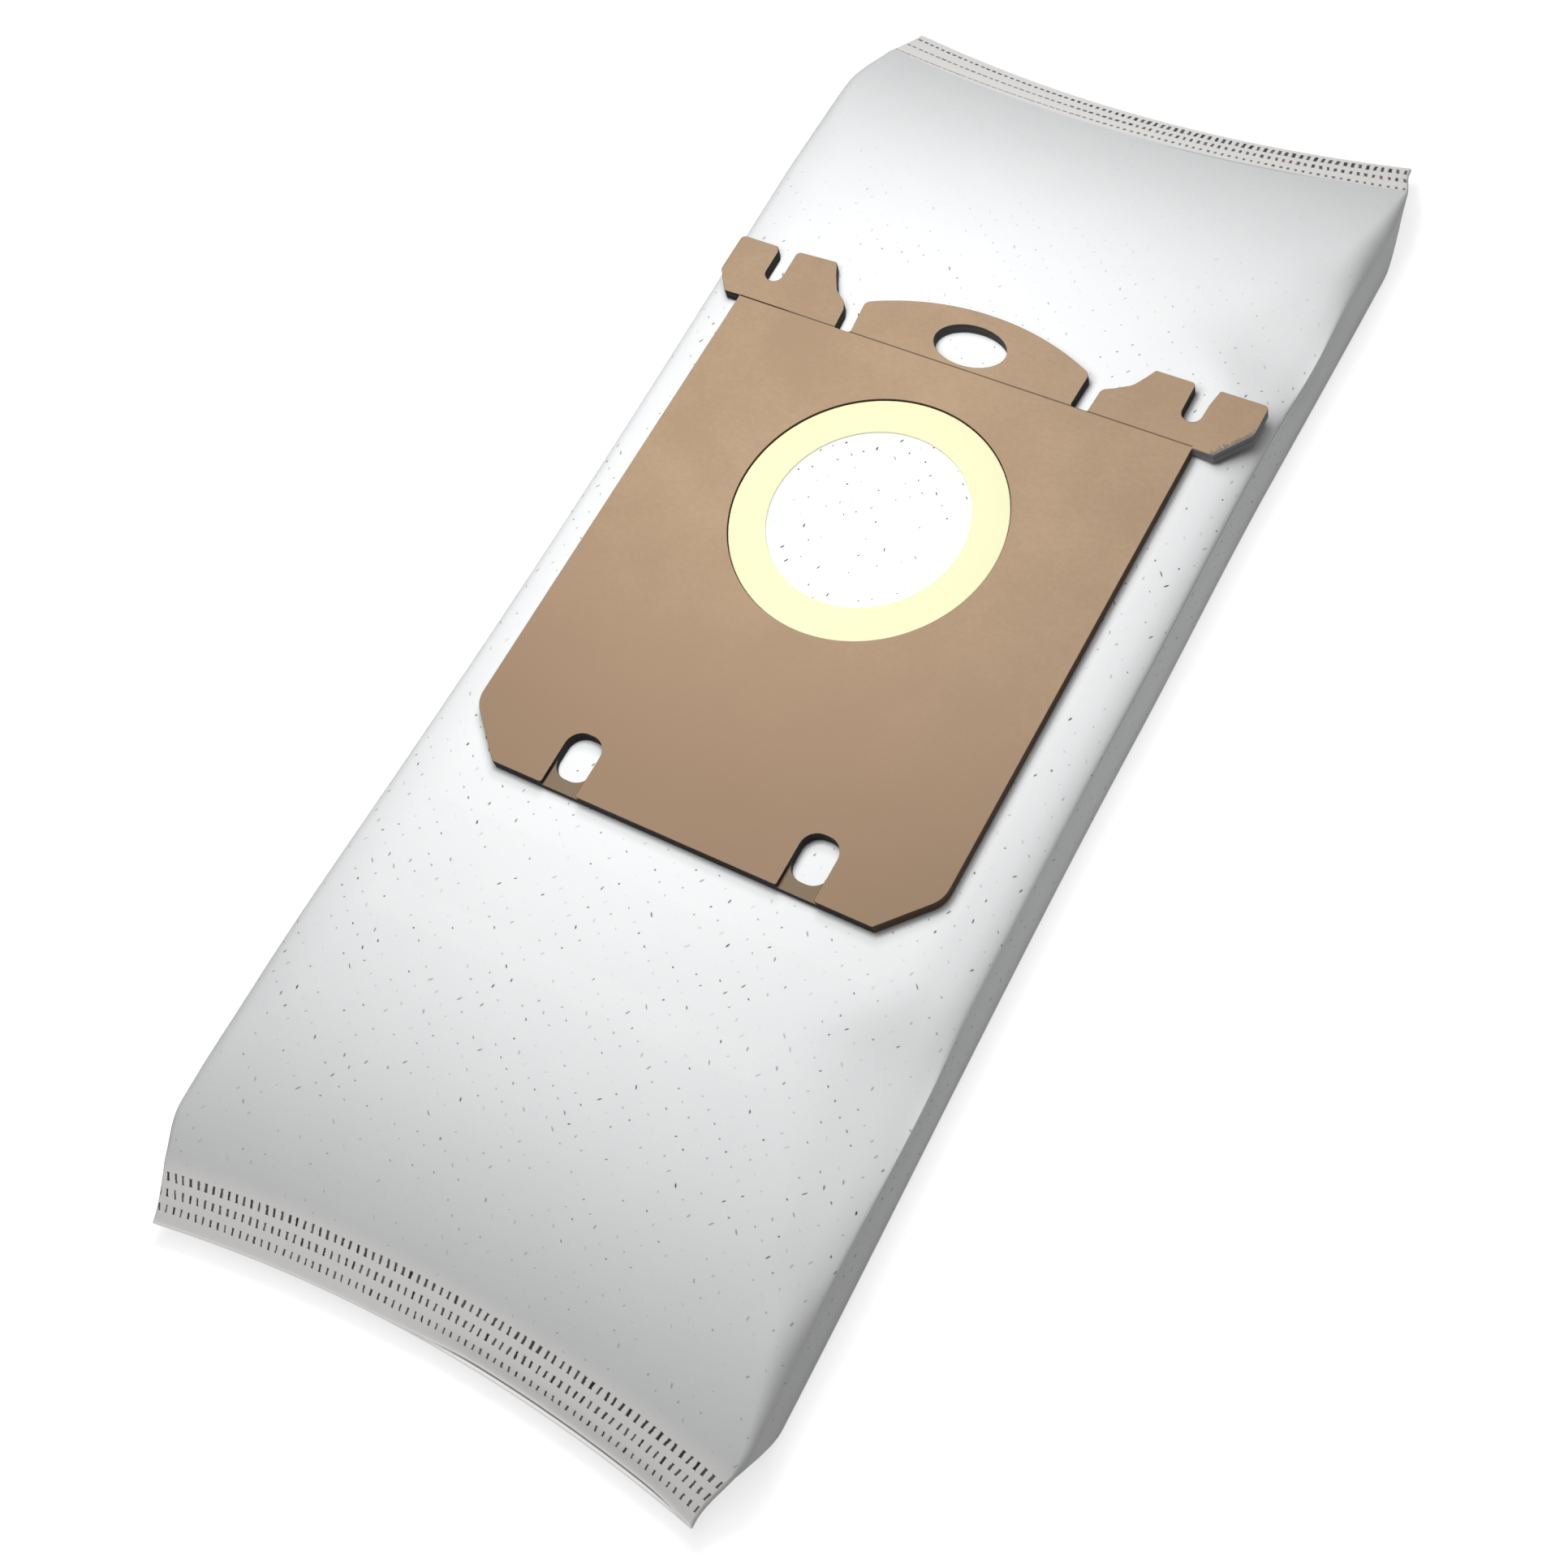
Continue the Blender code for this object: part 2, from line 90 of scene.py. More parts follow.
def add_piece(name, points, quads, maps=None):
    """Mesh object from points (n, 3) and quads (f, 4), with maps {name: (f, 4, 2)} in metres if some are given."""
    mesh = bpy.data.meshes.new(name)
    mesh.from_pydata(points.reshape(-1, 3).tolist(), [], quads.reshape(-1, 4).tolist())
    for map_name, corner_map in (maps or {}).items():
        layer = mesh.uv_layers.new(name=map_name)
        layer.data.foreach_set("uv", corner_map.reshape(-1).astype(np.float32))
    mesh.polygons.foreach_set("use_smooth", np.ones(len(mesh.polygons), dtype=bool))
    mesh.update()
    piece = bpy.data.objects.new(name, mesh)
    PIECES.objects.link(piece)
    return piece


def report(piece):
    """Print a piece's size and its triangles."""
    low, high = np.array(piece.bound_box).min(axis=0), np.array(piece.bound_box).max(axis=0)
    piece.data.calc_loop_triangles()
    sizes = [round(float(value) / MM, 1) for value in high - low]
    print(piece.name, "measures", sizes, "mm and has", len(piece.data.loop_triangles), "triangles")


# %% [markdown]
# ## The form of the fleece bag
# A bag like this is a tube that is pressed flat at both ends and held open by the air in it, so its sections change
# all the way: a thin slit at the cut edge, then a growing lens, then an oblong with soft shoulders. It could be blown
# up by a cloth simulation, but then its outline would be left to chance. Here a loft is worked out instead: a
# few smooth formulas give the width, the underside, the fold and the top at any depth from a cut edge.

# %% Sizes of the bag
BAG_LENGTH = 0.3171
WAIST_WIDTH = 0.1277
BAG_HEIGHT = 0.0211
SIDE_WALL_HEIGHT = 0.0115
SHOULDER_REACH = 0.0078
BOTTOM_ROUNDING = 0.0015
FLEECE = 0.0009
STRIP_WIDTH = 0.1222
STRIP_DEPTH = 0.0105
STRIP_THICKNESS = 0.0014
STRIP_EDGE_HEIGHT = 0.0051
STRIP_SLOPE = 0.45
END_BOW = 0.0055
BOW_RUN = 0.060
INLET_Y = 0.02557
FLEECE_INLET_RADIUS = 0.023
FAR_END = {"width": 0.1324, "fall": 0.0896, "rise": 0.0116, "draw": 0.0158}
TAB_END = {"width": 0.1315, "fall": 0.0486, "rise": 0.0150, "draw": 0.0266}


def smooth_step(share):
    """3s^2 - 2s^3 of a share held between 0 and 1: a rise with level ends."""
    share = np.clip(share, 0.0, 1.0)
    return share * share * (3.0 - 2.0 * share)


def ease_to_level(share, start, start_slope, end):
    """Cubic that starts with a slope and ends level: start (1-s)^2 (1+2s) + slope s (1-s)^2 + end s^2 (3-2s)."""
    share = np.clip(share, 0.0, 1.0)
    rest = 1.0 - share
    return start * rest**2 * (1.0 + 2.0 * share) + start_slope * share * rest**2 + end * smooth_step(share)


def bag_form(depth, fullness, end):
    """Half width, underside, fold and top of the bag at depths from a cut edge, each a smooth step between two sizes.

    Past the strip, the top is a cubic that starts with the strip's slope. Fullness thins the strip at its edge.
    """
    run = depth - STRIP_DEPTH
    middle = STRIP_EDGE_HEIGHT + STRIP_SLOPE * np.minimum(depth, STRIP_DEPTH)
    half = STRIP_THICKNESS / 2 * fullness
    top = ease_to_level(run / end["fall"], middle + half, STRIP_SLOPE * end["fall"], BAG_HEIGHT)
    risen = smooth_step(run / end["rise"])
    underside = (middle - half) * (1.0 - risen)
    fold = middle + (SIDE_WALL_HEIGHT - middle) * risen
    body = end["width"] + (WAIST_WIDTH - end["width"]) * smooth_step(2.0 * depth / BAG_LENGTH)
    half_width = (STRIP_WIDTH + (body - STRIP_WIDTH) * smooth_step(depth / end["draw"])) / 2
    return half_width, underside, fold, top


waist = bag_form(np.array([BAG_LENGTH / 2]), 1.0, TAB_END)
print("half width, underside, fold and top at the waist in mm:", [round(float(v[0]) / MM, 2) for v in waist])

# %% [markdown]
# ## Sections and stations
# Each section runs from the middle of the underside, out along it, round its small lower rounding, up the side wall,
# round the shoulder and back to the middle of the top; the left half mirrors it. The stations along the bag are close
# together at the welded strips. At the cut edges two plies of fleece end in round edges, one above the other, and on
# the end away from the tab the lower ply sticks out a little, as it does on the real bag.

# %% Section of the bag
PANEL_STEPS = 28
ROUNDING_STEPS = 3
WALL_STEPS = 2
SHOULDER_STEPS = 8
HALF_STEPS = 2 * PANEL_STEPS + ROUNDING_STEPS + WALL_STEPS + SHOULDER_STEPS
AROUND = 2 * HALF_STEPS
FOLD_COLUMN = PANEL_STEPS + ROUNDING_STEPS + WALL_STEPS


def half_section(half_width, underside, fold, top, inset):
    """x and z of the right half of each section, inset by a wall: underside, rounding, side wall, shoulder, top."""
    reach = SHOULDER_REACH * np.minimum(1.0, (top - fold) / (BAG_HEIGHT - SIDE_WALL_HEIGHT))
    half_width, underside, top = half_width - inset, underside + inset, top - inset
    soft = np.minimum(BOTTOM_ROUNDING, np.maximum(fold - underside, 0.0) / 2)
    run = np.arange(PANEL_STEPS) / PANEL_STEPS
    corner = np.pi / 2 * np.arange(ROUNDING_STEPS) / ROUNDING_STEPS
    climb = np.arange(WALL_STEPS) / WALL_STEPS
    arc = np.pi / 2 * np.arange(SHOULDER_STEPS) / SHOULDER_STEPS
    back = 1.0 - np.arange(PANEL_STEPS + 1) / PANEL_STEPS
    x = [(half_width - soft) * run, half_width - soft + soft * np.sin(corner), half_width * np.ones_like(climb),
         half_width - reach * (1.0 - np.cos(arc)), (half_width - reach) * back]
    z = [underside * np.ones_like(run), underside + soft * (1.0 - np.cos(corner)),
         underside + soft + (fold - underside - soft) * climb, fold + (top - fold) * np.sin(arc),
         top * np.ones_like(back)]
    return np.concatenate(x, axis=1), np.concatenate(z, axis=1)


print("points round each section:", AROUND)

# %% Stations along the bag
CELL = 0.0020
HOLE_CELLS = 8
BLEND_CELLS = 20
EDGE_RADIUS = STRIP_THICKNESS / 4
EDGE_STEPS = 6
END_REACH = 0.045
STRIP_SPACING = 0.0009
END_SPACING = 0.0013
TAB_SPACING = 0.0020
FAR_SPACING = 0.0026
inlet_station = BAG_LENGTH / 2 + INLET_Y
round_inlet = inlet_station + CELL * np.arange(-BLEND_CELLS, BLEND_CELLS + 1)


def spaced(start, stop, step):
    """Even stations from start up to, not including, stop, about a step apart."""
    return np.linspace(start, stop, max(2, round(abs(stop - start) / step)), endpoint=False)


edge_angle = np.linspace(-np.pi / 2, np.pi / 2, EDGE_STEPS, endpoint=False)
edge_depth = EDGE_RADIUS * (1.0 - np.cos(edge_angle))
edge_fullness = (1.0 + np.sin(edge_angle)) / 2
far_run = np.concatenate([spaced(EDGE_RADIUS, STRIP_DEPTH, STRIP_SPACING), spaced(STRIP_DEPTH, END_REACH, END_SPACING),
                          spaced(END_REACH, round_inlet[0], FAR_SPACING)])
tab_run = np.concatenate([round_inlet, spaced(BAG_LENGTH - END_REACH, round_inlet[-1], TAB_SPACING)[::-1],
                          spaced(BAG_LENGTH - STRIP_DEPTH, BAG_LENGTH - END_REACH, END_SPACING)[::-1],
                          spaced(BAG_LENGTH - EDGE_RADIUS, BAG_LENGTH - STRIP_DEPTH, STRIP_SPACING)[::-1]])
stations = np.concatenate([edge_depth, far_run, tab_run, BAG_LENGTH - edge_depth[::-1]])
fullness = np.concatenate([edge_fullness, np.ones(len(far_run) + len(tab_run)), edge_fullness[::-1]])
print("stations along the bag:", len(stations))

# %% [markdown]
# ## A round hole in a square grid
# The inlet has to be a true circle, and cutting it out of a grid leaves ragged faces. Instead the grid round it is
# pushed apart: the square rings of points about the inlet's middle turn into circles towards the hole and stay square
# at the outer side of the patch. The faces inside the innermost ring are then left out.

# %% Open the grid to a circle
columns = np.arange(AROUND + 1) - HALF_STEPS
inlet_row = int(np.argmin(np.abs(stations - inlet_station)))


def open_inlet(x, s, rows):
    """Move points (x, s) by ring: radius R + w (B - R) along each point's direction, blended to its square place by w.

    The ring number m is the larger of a point's column and row steps from the middle, and w is the share
    (m - hole) / (blend - hole).
    """
    column, row = np.broadcast_arrays(columns[None, :], rows[:, None])
    ring = np.maximum(np.abs(column), np.abs(row))
    share = np.clip((ring - HOLE_CELLS) / (BLEND_CELLS - HOLE_CELLS), 0.0, 1.0)
    across, along = -column * CELL, row * CELL
    length = np.maximum(np.hypot(across, along), 1e-9)
    radius = FLEECE_INLET_RADIUS + share * (BLEND_CELLS * CELL - FLEECE_INLET_RADIUS)
    radius = np.where(ring < HOLE_CELLS, FLEECE_INLET_RADIUS * ring / HOLE_CELLS, radius)
    near = ring < BLEND_CELLS
    s = s - inlet_station
    new_x = np.where(near, (1.0 - share) * radius * across / length + share * x, x)
    new_s = np.where(near, (1.0 - share) * radius * along / length + share * s, s)
    return new_x, new_s + inlet_station


print("the hole's rim has", 8 * HOLE_CELLS, "points; the inlet is station", inlet_row)

# %% [markdown]
# ## Slack of the cloth
# On the real bag the shoulders aren't even. The free panel sags to the right, the collar and the welds hold the cloth
# up near them, and the side wall on the right is taller. The slack is put on the even section as a roll of the top.

# %% Slack of the top
FREE_START = 0.036
HELD_START = 0.0525
FREE_BEND = 0.014
HELD_BEND = 0.003
RIGHT_SLOPE = 0.29
LEFT_SLOPE = 0.22
CORNER_REACH = 0.0047
RIGHT_RAISE = 0.0034
HELD_RAISE = 0.0012
BOARD_FOOT = BAG_LENGTH / 2 - 0.0525
BOARD_HEAD = BAG_LENGTH / 2 + 0.0790
WELD_HOLD = 0.044
FAR_HOLD_RUN = 0.036
TAB_HOLD_RUN = 0.018
SLACK_START = 0.028
SLACK_RUN = 0.022


def hold(x, along, depth):
    """Share from 0 to 1 by which the collar or a weld holds the cloth up; on the left side it is 1 all along.

    The collar's share is a smooth step up over 20 mm, from 24 mm before the board's foot, times one down over 18 mm,
    to 16 mm past its head. The weld's falls from 44 mm in, over 36 mm at the far end and 18 mm at the tab end.
    """
    by_board = smooth_step((along - BOARD_FOOT + 0.024) / 0.020) * smooth_step((BOARD_HEAD + 0.016 - along) / 0.018)
    by_weld = 1.0 - smooth_step((depth - WELD_HOLD) / np.where(along < BAG_LENGTH / 2, FAR_HOLD_RUN, TAB_HOLD_RUN))
    return np.where(x > 0.0, np.maximum(by_board, by_weld), 1.0)


def slack_top(x, z, fold, along):
    """Upper half with its slack: level, then a parabola that becomes a slope, then a quarter ellipse to the side.

    The drop is slope r^2 / (2 bend) and, past the bend, slope (r - bend / 2), r being the way past the roll's start.
    On the free panel of the right side the roll starts far in; where the collar or a weld holds the cloth, at its edge.
    The right side wall stands a little taller than the solid's, and most of all where the cloth is held.
    """
    side, top = x[:, FOLD_COLUMN:FOLD_COLUMN + 1], z[:, HALF_STEPS:HALF_STEPS + 1]
    depth = np.minimum(along, BAG_LENGTH - along)
    held = hold(x, along, depth)
    start = (FREE_START + (HELD_START - FREE_START) * held) * side / (WAIST_WIDTH / 2)
    bend = FREE_BEND + (HELD_BEND - FREE_BEND) * held
    run = np.maximum(np.abs(x) - start, 0.0)
    slope = np.where(x > 0.0, RIGHT_SLOPE, LEFT_SLOPE)
    drop = slope * np.where(run < bend, run**2 / (2.0 * bend), run - bend / 2)
    line = top - drop * (top - fold) / (BAG_HEIGHT - SIDE_WALL_HEIGHT)
    corner = np.clip(1.0 - (side - np.abs(x)) / CORNER_REACH, 0.0, 1.0)
    wall_top = fold + (RIGHT_RAISE + HELD_RAISE * held) * (x > 0.0)
    rolled = wall_top + (line - wall_top) * np.sqrt(1.0 - corner**2)
    upper = np.abs(columns) <= HALF_STEPS - FOLD_COLUMN
    return np.where(upper[None, :], z + smooth_step((depth - SLACK_START) / SLACK_RUN) * (rolled - z), z)


print("the free panel sags from", FREE_START / MM, "mm, the held cloth from", HELD_START / MM, "mm off the middle")

# %% [markdown]
# ## The shell of the bag
# The outer and the inner face use the same grid, the inner one inset by the fleece's thickness and ended where the two
# panels meet at the welds. Quads round the inlet join them, so the fleece is a closed wall that can be looked into.

# %% Draw and shift at the ends
RIGHT_DRAW = 0.0015
LEFT_DRAW = 0.0005
DRAW_RUN = 0.010
RIGHT_SLIM = 0.0010
SLIM_FROM = 0.009
SLIM_GROWN = 0.024
SLIM_LAST = 0.085
SLIM_GONE = 0.145
LEFT_SWELL = 0.0215
PLY_OFFSET = 0.00095
PLY_LEAST = 0.00003


def draw_in(x, depth, at_tab):
    """x brought nearer to the middle at the ends, by the draw d over the strip's half width: x (1 - 2 d / width).

    At the tab end d falls smoothly from a strip's corner to zero at 10 mm in, and the right side has a slim stretch of
    1 mm further on. At the far end the left side swells out later than the solid's, by the difference of two steps.
    """
    slim = RIGHT_SLIM * smooth_step((depth - SLIM_FROM) / (SLIM_GROWN - SLIM_FROM))
    slim = slim * (1.0 - smooth_step((depth - SLIM_LAST) / (SLIM_GONE - SLIM_LAST)))
    tab_draw = np.where(x > 0.0, RIGHT_DRAW, LEFT_DRAW) * (1.0 - smooth_step(depth / DRAW_RUN))
    tab_draw = tab_draw + np.where(x > 0.0, slim, 0.0)
    late = smooth_step(depth / FAR_END["draw"]) - smooth_step(depth / LEFT_SWELL)
    far_draw = (FAR_END["width"] - STRIP_WIDTH) / 2 * np.where(x > 0.0, 0.0, late)
    return x * (1.0 - np.where(at_tab, tab_draw, far_draw) / (STRIP_WIDTH / 2))


def ply_shift(x):
    """How far the upper ply's cut edge lies behind the lower one's: a smooth hump from x = -10 mm to x = 64 mm."""
    hump = smooth_step((x + 0.010) / 0.022) * smooth_step((0.064 - x) / 0.014)
    return PLY_LEAST + PLY_OFFSET * hump


print("the plies' cut edges lie up to", round((PLY_LEAST + PLY_OFFSET) / MM, 2), "mm apart")


# %% Loft of one face
def loft(s, full, rows, edge_map, inset):
    """Points of a face of the bag at stations s, and two maps: (walk round, way along), (share across, way along)."""
    s, full = s[:, None], full[:, None]
    flat = np.clip(s, EDGE_RADIUS, BAG_LENGTH - EDGE_RADIUS)
    far = half_section(*bag_form(np.minimum(flat, BAG_LENGTH / 2), full, FAR_END), inset)
    tab = half_section(*bag_form(np.minimum(BAG_LENGTH - flat, BAG_LENGTH / 2), full, TAB_END), inset)
    x, z = [np.where(s < BAG_LENGTH / 2, one, other) for one, other in zip(far, tab)]
    x = np.concatenate([x, -x[:, -2::-1]], axis=1)
    z = np.concatenate([z, z[:, -2::-1]], axis=1)
    # On the round cut edges the side wall fans out from the groove between the plies, and covers both half discs.
    fold = z[:, FOLD_COLUMN:FOLD_COLUMN + 1]
    z = slack_top(x, z, fold, flat)
    reach = np.where(z > fold, z[:, HALF_STEPS:HALF_STEPS + 1] - fold, fold - z[:, :1])
    spread = np.abs(z - fold) / np.maximum(reach, 1e-9)
    x, along = open_inlet(x, flat + (s - flat) * spread, rows)
    # The ends bow inwards, most in their middle, and the upper ply's cut edge lies behind the lower one's.
    depth = np.minimum(along, BAG_LENGTH - along)
    at_tab = along >= BAG_LENGTH / 2
    x = draw_in(x, depth, at_tab)
    share = np.clip(x / x.max(axis=1, keepdims=True), -1.0, 1.0)
    bow = END_BOW * (1.0 - smooth_step((depth - STRIP_DEPTH) / BOW_RUN)) * (1.0 - share**2)
    upper = (np.abs(columns) < HALF_STEPS / 2)[None, :]
    shift = np.where(at_tab, PLY_LEAST, ply_shift(x)) * smooth_step(1.0 - depth / (0.4 * STRIP_DEPTH))
    shift = shift * upper * smooth_step((1.0 - np.abs(share)) / 0.01)
    y = np.where(at_tab, 1.0, -1.0) * (BAG_LENGTH / 2 - depth - bow - shift)
    # The maps: how far a thread runs round the section, and how far along the bag.
    steps = np.hypot(np.diff(x, axis=1), np.diff(z, axis=1))
    walked = np.concatenate([np.zeros_like(x[:, :1]), np.cumsum(steps, axis=1)], axis=1)
    walked = walked[:, HALF_STEPS:HALF_STEPS + 1] - walked
    mapped = np.where(upper, along + edge_map[:, None] * spread, along)
    cloth = np.stack([walked, mapped], axis=2)
    weld = np.stack([share * STRIP_WIDTH / 2, mapped], axis=2)
    return np.stack([x, y, z], axis=2), cloth, weld


# On the upper ply's round edge the way along runs on below zero, so that a shader can find the gap between the plies.
edge_way = EDGE_RADIUS * edge_angle / (np.pi / 2) - edge_depth
edge_map = np.concatenate([edge_way, np.zeros(len(far_run) + len(tab_run)), -edge_way[::-1]])
rows = np.arange(len(stations)) - inlet_row
outer, outer_cloth, outer_weld = loft(stations, fullness, rows, edge_map, 0.0)
print("outer face:", outer.shape[0], "by", outer.shape[1], "points")

# %% [markdown]
# ## Joining the faces
# A quad of the grid takes a point, its neighbour along the bag, and the two beside them. The welded ends are closed
# by a narrow ledge between the upper and the lower ply, and the same kind of strip closes the hollow inside.

# %% Quads of the grid
def grid_quads(count, row_offset):
    """Corners (f, 4, 2) as (row, column) of a grid's quads, without those inside the inlet's innermost ring."""
    row, column = np.meshgrid(np.arange(count - 1), np.arange(AROUND), indexing="ij")
    middle_row = np.abs(row + row_offset + 0.5)
    middle_column = np.abs(column - HALF_STEPS + 0.5)
    kept = (middle_row > HOLE_CELLS) | (middle_column > HOLE_CELLS)
    row, column = row[kept], column[kept]
    corners = [(row, column), (row + 1, column), (row + 1, column + 1), (row, column + 1)]
    return np.stack([np.stack(corner, axis=-1) for corner in corners], axis=1)


def slit_quads(row):
    """Corners of the quads between the lower and the upper half of one section, on both sides of the middle."""
    low = np.arange((HALF_STEPS - 1) // 2)
    right = np.stack([low, low + 1, HALF_STEPS - low - 1, HALF_STEPS - low], axis=1)
    columns_used = np.concatenate([right, AROUND - right])
    return np.stack([np.full_like(columns_used, row), columns_used], axis=2)


def rim_ring(inlet):
    """Corners once round the inlet's innermost square ring, as (row, column)."""
    run = np.arange(-HOLE_CELLS, HOLE_CELLS)
    edge = np.full_like(run, HOLE_CELLS)
    row = np.concatenate([-edge, run, edge, -run])
    column = np.concatenate([run, edge, -run, -edge])
    return np.stack([row + inlet, column + HALF_STEPS], axis=1)


print("quads that close one section:", len(slit_quads(0)))

# %% Inner face
height_at = []
for way, end in ((stations, FAR_END), (BAG_LENGTH - stations, TAB_END)):
    _, underside, _, top = bag_form(np.minimum(way, BAG_LENGTH / 2), 1.0, end)
    height_at.append(top - underside)
hollow = np.flatnonzero(np.minimum(*height_at) > 2 * FLEECE + STRIP_THICKNESS / 2)
first, last = hollow[0], hollow[-1] + 1
inner, inner_cloth, inner_weld = loft(stations[first:last], fullness[first:last], rows[first:last],
                                      edge_map[first:last], FLEECE)
print("inner face:", inner.shape[0], "by", inner.shape[1], "points")

# %% Quads and maps of both faces
quads, cloth_corners, weld_corners = [], [], []
inner_base = outer.shape[0] * AROUND
faces = ((outer, outer_cloth, outer_weld, 0, -inlet_row),
         (inner, inner_cloth, inner_weld, inner_base, first - inlet_row))
for points, cloth, weld, base, row_offset in faces:
    count = points.shape[0]
    corners = np.concatenate([grid_quads(count, row_offset), slit_quads(0), slit_quads(count - 1)])
    quads.append(base + corners[..., 0] * AROUND + corners[..., 1] % AROUND)
    cloth_corners.append(cloth[corners[..., 0], corners[..., 1]])
    weld_corners.append(weld[corners[..., 0], corners[..., 1]])

# The ledge's map runs on from the gap between the plies to the lower ply's edge.
LEDGE_WAY = 0.0013
ledge_count = len(slit_quads(0))
for way, start in ((-LEDGE_WAY, -2 * ledge_count), (BAG_LENGTH + LEDGE_WAY, -ledge_count)):
    stop = start + ledge_count or None
    for corner_map in (cloth_corners[0], weld_corners[0]):
        corner_map[start:stop, :2, 1] = way
print("quads of both faces:", sum(len(part) for part in quads))


# %% Bag as one closed shell
def joined(on_outer, on_inner):
    """Corners of the quads between two rings: here on the outer one, next on it, next on the inner one, here on it."""
    return np.stack([on_outer, np.roll(on_outer, -1, axis=0), np.roll(on_inner, -1, axis=0), on_inner], axis=1)


ring_out, ring_in = rim_ring(inlet_row), rim_ring(inlet_row - first)
quads.append(joined(ring_out[:, 0] * AROUND + ring_out[:, 1], inner_base + ring_in[:, 0] * AROUND + ring_in[:, 1]))
for corner_maps, on_outer, on_inner in ((cloth_corners, outer_cloth, inner_cloth),
                                        (weld_corners, outer_weld, inner_weld)):
    corner_maps.append(joined(on_outer[ring_out[:, 0], ring_out[:, 1]], on_inner[ring_in[:, 0], ring_in[:, 1]]))

bag_points = np.concatenate([outer[:, :AROUND].reshape(-1, 3), inner[:, :AROUND].reshape(-1, 3)])
bag = add_piece("fleece_bag_shell", bag_points, np.concatenate(quads),
                {"cloth_map": np.concatenate(cloth_corners), "weld_map": np.concatenate(weld_corners)})
inner_share = (np.arange(len(bag_points)) >= inner_base).astype(float)
from_fold = np.ones(len(bag_points))
from_fold[:inner_base] = np.abs(outer_cloth[:, :AROUND, 0] - outer_cloth[:, FOLD_COLUMN:FOLD_COLUMN + 1, 0]).ravel()
for name, values in (("inner_face", inner_share), ("fold_way", from_fold)):
    bag.data.attributes.new(name, "FLOAT", "POINT").data.foreach_set("value", values)


def tidy_shell(piece, merge=1e-7, level=2.0):
    """Merge points that coincide, drop loose ones and turn every face outwards; return the edges left open.

    Faces are shaded smooth, apart from those whose normal's upright part is past the level given.
    """
    mesh_data = bmesh.new()
    mesh_data.from_mesh(piece.data)
    bmesh.ops.remove_doubles(mesh_data, verts=mesh_data.verts, dist=merge)
    bmesh.ops.delete(mesh_data, geom=[v for v in mesh_data.verts if not v.link_faces], context="VERTS")
    bmesh.ops.recalc_face_normals(mesh_data, faces=mesh_data.faces)
    for face in mesh_data.faces:
        face.smooth = abs(face.normal.z) < level
    open_edges = sum(len(edge.link_faces) != 2 for edge in mesh_data.edges)
    mesh_data.to_mesh(piece.data)
    mesh_data.free()
    return open_edges


print("edges left open:", tidy_shell(bag))
report(bag)
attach(bag, "root")
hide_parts("fleece_bag")

# %% [markdown]
# ## Helpers for materials
# A pattern is a formula, so its code should read like one. In Blender each sum is a Math node, and a shader value is
# the output socket of a node. The class below wraps such a socket, so that a plus, minus, times or power sign on it
# adds the node. The other helpers add one node each, take signals or numbers, and give back a signal.

# %% Signals
class Signal:
    """A shader value that reads like a number: each sign used on it adds one Math node to its tree.

    The tree is found from the socket, whose id_data is the tree that it is in.
    """

    def __init__(self, socket):
        self.socket, self.tree = socket, socket.id_data

    def __add__(self, other):
        return maths("ADD", self, other)

    def __sub__(self, other):
        return maths("SUBTRACT", self, other)

    def __rsub__(self, other):
        return maths("SUBTRACT", other, self)

    def __mul__(self, other):
        return maths("MULTIPLY", self, other)

    def __truediv__(self, other):
        return maths("DIVIDE", self, other)

    def __pow__(self, other):
        return maths("POWER", self, other)

    def __abs__(self):
        return maths("ABSOLUTE", self)


def place(socket, value):
    """Link a signal to an input, or set the input to a number, or to a colour of red, green and blue."""
    if isinstance(value, Signal):
        socket.id_data.links.new(value.socket, socket)
    else:
        socket.default_value = (*value, 1.0) if isinstance(value, tuple) else value


def feed(inputs, values):
    """Give several inputs their values, by name or by number."""
    for key, value in values.items():
        place(inputs[key], value)


def add_node(tree, kind, values, **settings):
    """New shader node with its settings, and its inputs fed."""
    node = tree.nodes.new("ShaderNode" + kind)
    for name, setting in settings.items():
        setattr(node, name, setting)
    feed(node.inputs, values)
    return node


def first_tree(values):
    """The tree that the first signal among some values is in."""
    return next(value.tree for value in values if isinstance(value, Signal))


def maths(operation, *values):
    """One sum on signals and numbers."""
    return Signal(add_node(first_tree(values), "Math", dict(enumerate(values)), operation=operation).outputs[0])


def signals(node):
    """A node's outputs by name."""
    return {output.name: Signal(output) for output in node.outputs}


print("a signal takes the signs + - * / ** and abs")


# %% Node helpers
def fade(value, start, stop, low=0.0, high=1.0):
    """Smooth step of a value from low at start to high at stop."""
    values = {"Value": value, "From Min": start, "From Max": stop, "To Min": low, "To Max": high}
    return Signal(add_node(value.tree, "MapRange", values, interpolation_type="SMOOTHSTEP").outputs["Result"])


def fall(value, start, stop):
    """Smooth step of a value from one at start down to zero at stop."""
    return fade(value, start, stop, 1.0, 0.0)


def distance(x, y):
    """Length of (x, y): the root of x^2 + y^2."""
    return maths("SQRT", x * x + y * y)


def combine(x, y, z):
    """Vector from three numbers."""
    return Signal(add_node(x.tree, "CombineXYZ", {"X": x, "Y": y, "Z": z}).outputs[0])


def split(vector):
    """The three numbers of a vector."""
    return [Signal(output) for output in add_node(vector.tree, "SeparateXYZ", {0: vector}).outputs]


